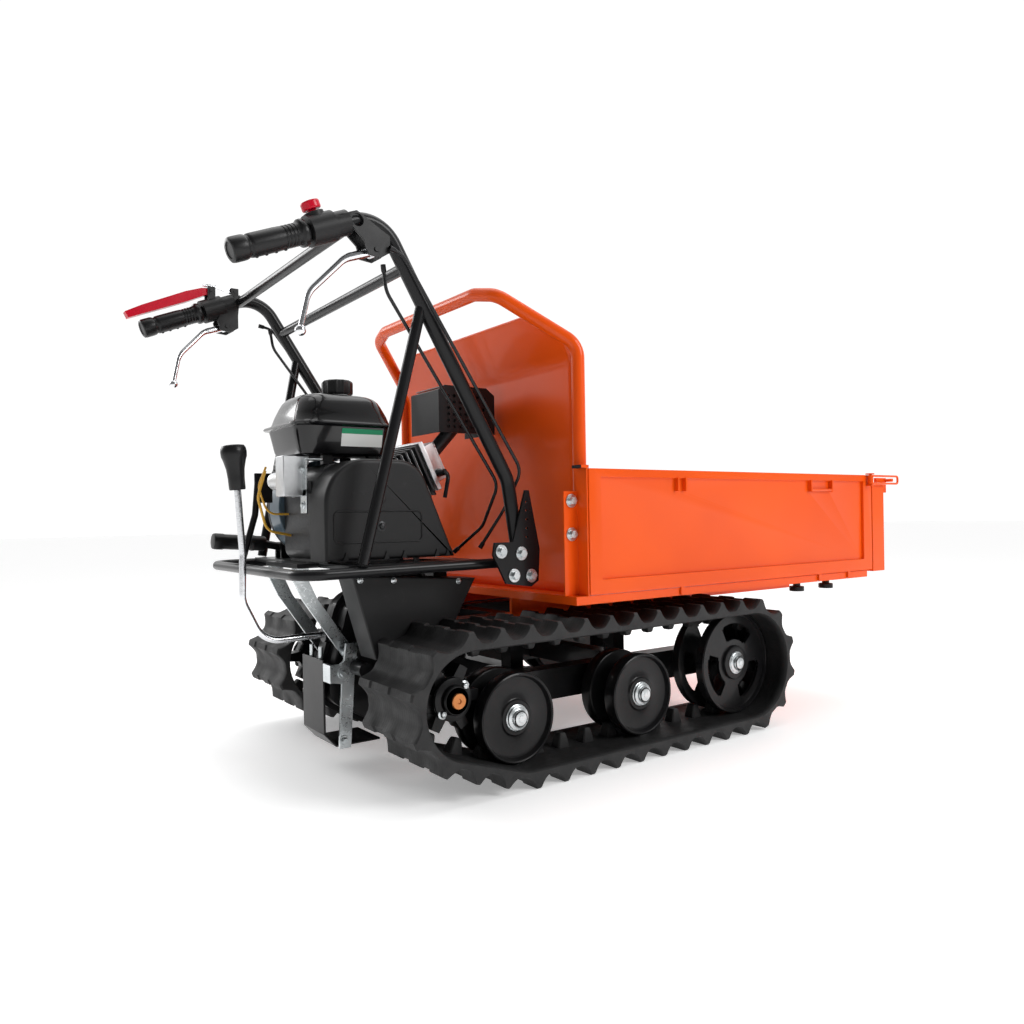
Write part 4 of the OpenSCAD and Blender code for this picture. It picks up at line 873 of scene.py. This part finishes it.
def tank_label():
    """Blank sticker on the near side of the tank, under its seam: a white sheet with a green band on top."""
    def sheet(h0, h1):
        y = [-0.113 - 0.21 * (h - 0.012) - 0.0005 for h in (h0, h1)]
        x0, x1 = -0.543, -0.462
        return [(x0, y[0], 0.572 + h0), (x1, y[0], 0.572 + h0), (x1, y[1], 0.572 + h1), (x0, y[1],
            0.572 + h1)], [[0, 1, 2, 3]]
    add_mesh("label_sheet", *sheet(0.016, 0.038), "label_white")
    add_mesh("label_band", *sheet(0.038, 0.047), "label_green")


# ---------------------------------------------------------------- handlebars
SLOPE = math.radians(22)
GRIP_DIR = np.array([-math.cos(SLOPE), 0, -math.sin(SLOPE)])
BEND = lambda s: np.array([-0.546, s * 0.277, 0.944])


def bar_at(z, s):
    a, b = np.array([-0.280, s * 0.252, 0.524]), BEND(s)
    return a + (b - a) * (z - a[2]) / (b[2] - a[2])


def handlebars():
    """Bent tubes, stays and cross braces."""
    parts = []
    for s, _ in SIDES:
        end = BEND(s) + GRIP_DIR * 0.258
        parts.append(tube(bent([(-0.255, s * 0.255, 0.352), (-0.280, s * 0.252, 0.524), BEND(s), end],
            0.062, 16), 0.0125, 36))
        parts.append(tube([bar_at(0.815, s), (-0.565, s * 0.235, 0.3835)], 0.0095, 28))
    for z in (0.868,):
        parts.append(tube([bar_at(z, -1), bar_at(z, 1)], 0.0095, 28))
    parts.append(tube([(-0.592, -0.277, 0.922), (-0.592, 0.277, 0.922)], 0.0095, 28))
    obj = tidy(add_mesh("handlebar_tubes", *join(parts), "black_paint"))
    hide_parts("handlebar_frame")
    parts = [tube(bent([(-0.267, -0.235, 0.374), (-0.670, -0.235, 0.370), (-0.670, 0.235, 0.370), (-0.267,
        0.235, 0.374)], 0.040, 14), 0.009, 30),
             tube(bent([(-0.670, 0.060, 0.370), (-0.640, 0.060, 0.470), (-0.634, 0.060, 0.530)], 0.020, 8),
                 0.006, 18),
             block((-0.640, 0.057, 0.492), (-0.606, 0.063, 0.548))]
    for s, _ in SIDES:
        parts.append(block((-0.275, s * 0.228, 0.364), (-0.222, s * 0.242, 0.384)))
    obj = tidy(add_mesh("side_rail_tube", *join(parts), "black_paint"))
    rounded_edges(obj, 0.0012, 2, 60)
    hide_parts("side_rails")


def grip_sleeves():
    """Moulded grips: a long barrel with a thumb collar, three end rings and finger nubs underneath."""
    parts = []
    for s, _ in SIDES:
        a = BEND(s) + GRIP_DIR * 0.137
        prof = [(0.0126, 0.0), (0.0190, 0.0), (0.0205, 0.0015), (0.0212, 0.005), (0.0208, 0.0085), (0.0180,
            0.0105), (0.0172, 0.012)]
        for k in range(4):
            u = 0.018 + k * 0.006
            prof += [(0.0172, u), (0.0162, u + 0.0012), (0.0162, u + 0.0022), (0.0172, u + 0.0034)]
        prof += [(0.0176, 0.050), (0.0176, 0.090), (0.0172, 0.094), (0.0160, 0.0955), (0.0160, 0.0985),
            (0.0175, 0.100), (0.0183, 0.103), (0.0185, 0.110), (0.0185, 0.120), (0.0178, 0.1238), (0.0160,
            0.1250), (0.0120, 0.1250), (0.0115, 0.1238), (0, 0.1238)]
        parts.append(lathe(prof, a, GRIP_DIR, 56))
        down = np.cross(GRIP_DIR, Y)
        down = down if down[2] < 0 else -down
        for u in (0.040, 0.056, 0.072, 0.088):
            parts.append(lathe([(0, 0), (0.0030, 0), (0.0026, 0.0012), (0.0014, 0.0022), (0, 0.0024)],
                a + GRIP_DIR * u + down * 0.0168, down, 14))
    obj = tidy(add_mesh("grip_sleeves", *join(parts), "grip_rubber"))
    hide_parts("grips")


def levers():
    """Blade levers: a bar that thins from its eye and ends in a ball."""
    for s, name in SIDES:
        c = np.array([-0.560, s * 0.277, 0.882]) if s < 0 else np.array([-0.622, s * 0.277, 0.868])
        path = bent([c + [-0.004, 0, -0.001], c + [-0.046, -0.004 * s, -0.016], c + [-0.100, -0.020 * s,
            -0.072], c + [-0.113, -0.024 * s, -0.128]], 0.042, 16)
        r = np.interp(np.linspace(0, 1, len(path)), [0, 0.12, 0.5, 0.9, 1], [0.0070, 0.0065, 0.0056, 0.0046,
            0.0042])
        ball = c + [-0.113, -0.024 * s, -0.132]
        t = np.linspace(-math.pi / 2, math.pi / 2, 18)
        parts = [tube(path, r, 24), lathe([(0.0088 * math.cos(k), 0.0088 * math.sin(k)) for k in t], ball,
            (0, 0, 1), 32),
                 lathe([(0.0041, -0.011), (0.0082, -0.011), (0.009, -0.010), (0.009, 0.010), (0.0082,
                     0.011), (0.0041, 0.011), (0.0041, -0.011)], c, Y, 40)]
        obj = tidy(add_mesh(name + "_lever_blade", *join(parts), "polished_alloy",
            name + "_steering_lever"))
        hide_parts(name + "_steering_lever")
    path = bent([(-0.562, -0.050, 0.248), (-0.668, -0.050, 0.246), (-0.704, -0.050, 0.320), (-0.702, -0.050,
        0.400), (-0.709, -0.050, 0.512)], 0.050, 14)
    obj = tidy(add_mesh("gear_lever_rod",
        *join([tube(path, 0.006, 26), tube([(-0.566, -0.050, 0.248), (-0.512, -0.050, 0.248)], 0.006, 24)]),
        "polished_alloy", "gear_lever"))
    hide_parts("gear_lever")
    axis = np.array([-math.sin(math.radians(5)), 0, math.cos(math.radians(5))])
    prof = [(0, 0), (0.0130, 0), (0.0140, 0.002), (0.0142, 0.020), (0.0156, 0.036), (0.0190, 0.050),
        (0.0218, 0.058), (0.0222, 0.066), (0.0212, 0.072), (0.0185, 0.0765), (0.012, 0.0778), (0, 0.0780)]
    obj = tidy(add_mesh("gear_knob_grip", *lathe(prof, (-0.709, -0.050, 0.512), axis, 48), "grip_rubber",
        "gear_lever"))
    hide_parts("gear_knob")
    a, b = np.array([-0.585, 0.165, 0.412]), np.array([-0.690, 0.165, 0.420])
    d = unit(b - a)
    prof = [(0, 0), (0.0135, 0), (0.0148, 0.002), (0.0150, 0.020), (0.0160, 0.024), (0.0160, 0.028),
        (0.0150, 0.031), (0.0150, 0.082), (0.0160, 0.086), (0.0160, 0.101), (0.0148, 0.1045), (0.010,
        0.1053), (0, 0.1053)]
    grip = lathe(prof, a, d, 40)
    eye = lathe([(0.0051, -0.011), (0.011, -0.011), (0.011, 0.011), (0.0051, 0.011), (0.0051, -0.011)],
        (-0.545, 0.165, 0.404), Y, 32)
    arm = tube([(-0.553, 0.165, 0.405), (-0.600, 0.165, 0.414)], 0.008, 20)
    obj = tidy(add_mesh("tip_lever_grip", *join([grip, eye, arm]), "grip_rubber", "tip_lever"))
    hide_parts("tip_lever")


def controls():
    """Switch boxes, clamps, the red lever and button, adjusters and cables."""
    finished("control_housings", "black_plastic", 0.0016)
    finished("drive_lever", "crimson_plastic", 0.003, "drive_lever", 3)
    finished("throttle_lever", "polished_alloy", 0.0008, "throttle_lever")
    finished("stop_button", "crimson_plastic", 0.0025, "stop_button", 3)
    finished("gusset_plates", "black_paint", 0.0010)
    finished("chassis_bolts", "zinc", 0.0006)
    parts = []
    for s, _ in SIDES:
        g = 0.277
        first = bent([(-0.540, s * (g + 0.022), 0.886), (-0.512, s * (g + 0.017), 0.880), (-0.258,
            s * 0.266, 0.540),
                      (-0.262, s * 0.215, 0.470), (-0.300, s * 0.190, 0.400)], 0.045, 16)
        second = bent([(-0.530, s * 0.258, 0.872), (-0.524, s * 0.256, 0.830), (-0.286, s * 0.232, 0.516),
                       (-0.286, s * 0.180, 0.440), (-0.318, s * 0.130, 0.392)], 0.045, 16)
        parts += [tube(first, 0.003, 18), tube(second, 0.003, 18)]
        for path in (first, second):
            for a, b in ((path[0], path[1]), (path[-1], path[-2])):
                parts.append(lathe([(0, 0), (0.0044, 0), (0.0044, 0.010), (0.0034, 0.013), (0, 0.013)], a,
                    unit(b - a), 20))
    obj = tidy(add_mesh("cable_sheaths", *join(parts), "cable"))
    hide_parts("control_cables")


# ---------------------------------------------------------------- stage
def stage():
    """Pale floor, large soft lights, and a sky that is bright beyond the object and dim behind the camera."""
    data = bpy.data.meshes.new("floor")
    data.from_pydata([(-30, -30, 0), (30, -30, 0), (30, 30, 0), (-30, 30, 0)], [], [(0, 1, 2, 3)])
    floor = bpy.data.objects.new("floor", data)
    bpy.context.collection.objects.link(floor)
    s = Shop("floor")
    data.materials.append(s.set(Base_Color=(0.97, 0.97, 0.97), Roughness=0.75, Emission_Color=(1, 1, 1),
        Emission_Strength=0.3))
    world = bpy.data.worlds.new("sky")
    world.use_nodes = True
    tree = world.node_tree
    place = tree.nodes.new("ShaderNodeTexCoord")
    facing = tree.nodes.new("ShaderNodeVectorMath")
    facing.operation = "DOT_PRODUCT"
    facing.inputs[1].default_value = (0.46, 0.70, 0.55)
    ramp = tree.nodes.new("ShaderNodeMapRange")
    for key, value in (("From Min", 0.0), ("From Max", 0.66), ("To Min", 0.15), ("To Max", 1.05)):
        ramp.inputs[key].default_value = value
    tree.nodes["Background"].inputs["Color"].default_value = (1, 1, 1, 1)
    tree.links.new(place.outputs["Generated"], facing.inputs[0])
    tree.links.new(facing.outputs["Value"], ramp.inputs["Value"])
    tree.links.new(ramp.outputs["Result"], tree.nodes["Background"].inputs["Strength"])
    bpy.context.scene.world = world
    for name, at, to, size, power in (("key", (1.3, -3.0, 2.3), (0.1, 0, 0.4), 1.5, 66), ("over",
        (0.2, 0.2, 3.6), (0, 0, 0.3), 2.6, 30),
                                      ("back", (-1.8, 2.6, 1.9), (0, 0, 0.5), 1.2, 32)):
        lamp = bpy.data.lights.new(name, "AREA")
        lamp.shape, lamp.size, lamp.energy = "SQUARE", size, power
        obj = bpy.data.objects.new(name, lamp)
        obj.location = at
        obj.rotation_euler = (Vector(to) - Vector(at)).to_track_quat("-Z", "Y").to_euler()
        bpy.context.collection.objects.link(obj)
    view = bpy.context.scene.view_settings
    view.view_transform = "Standard"


stage()
undercarriage()
bed()
engine()
handlebars()
grip_sleeves()
levers()
controls()
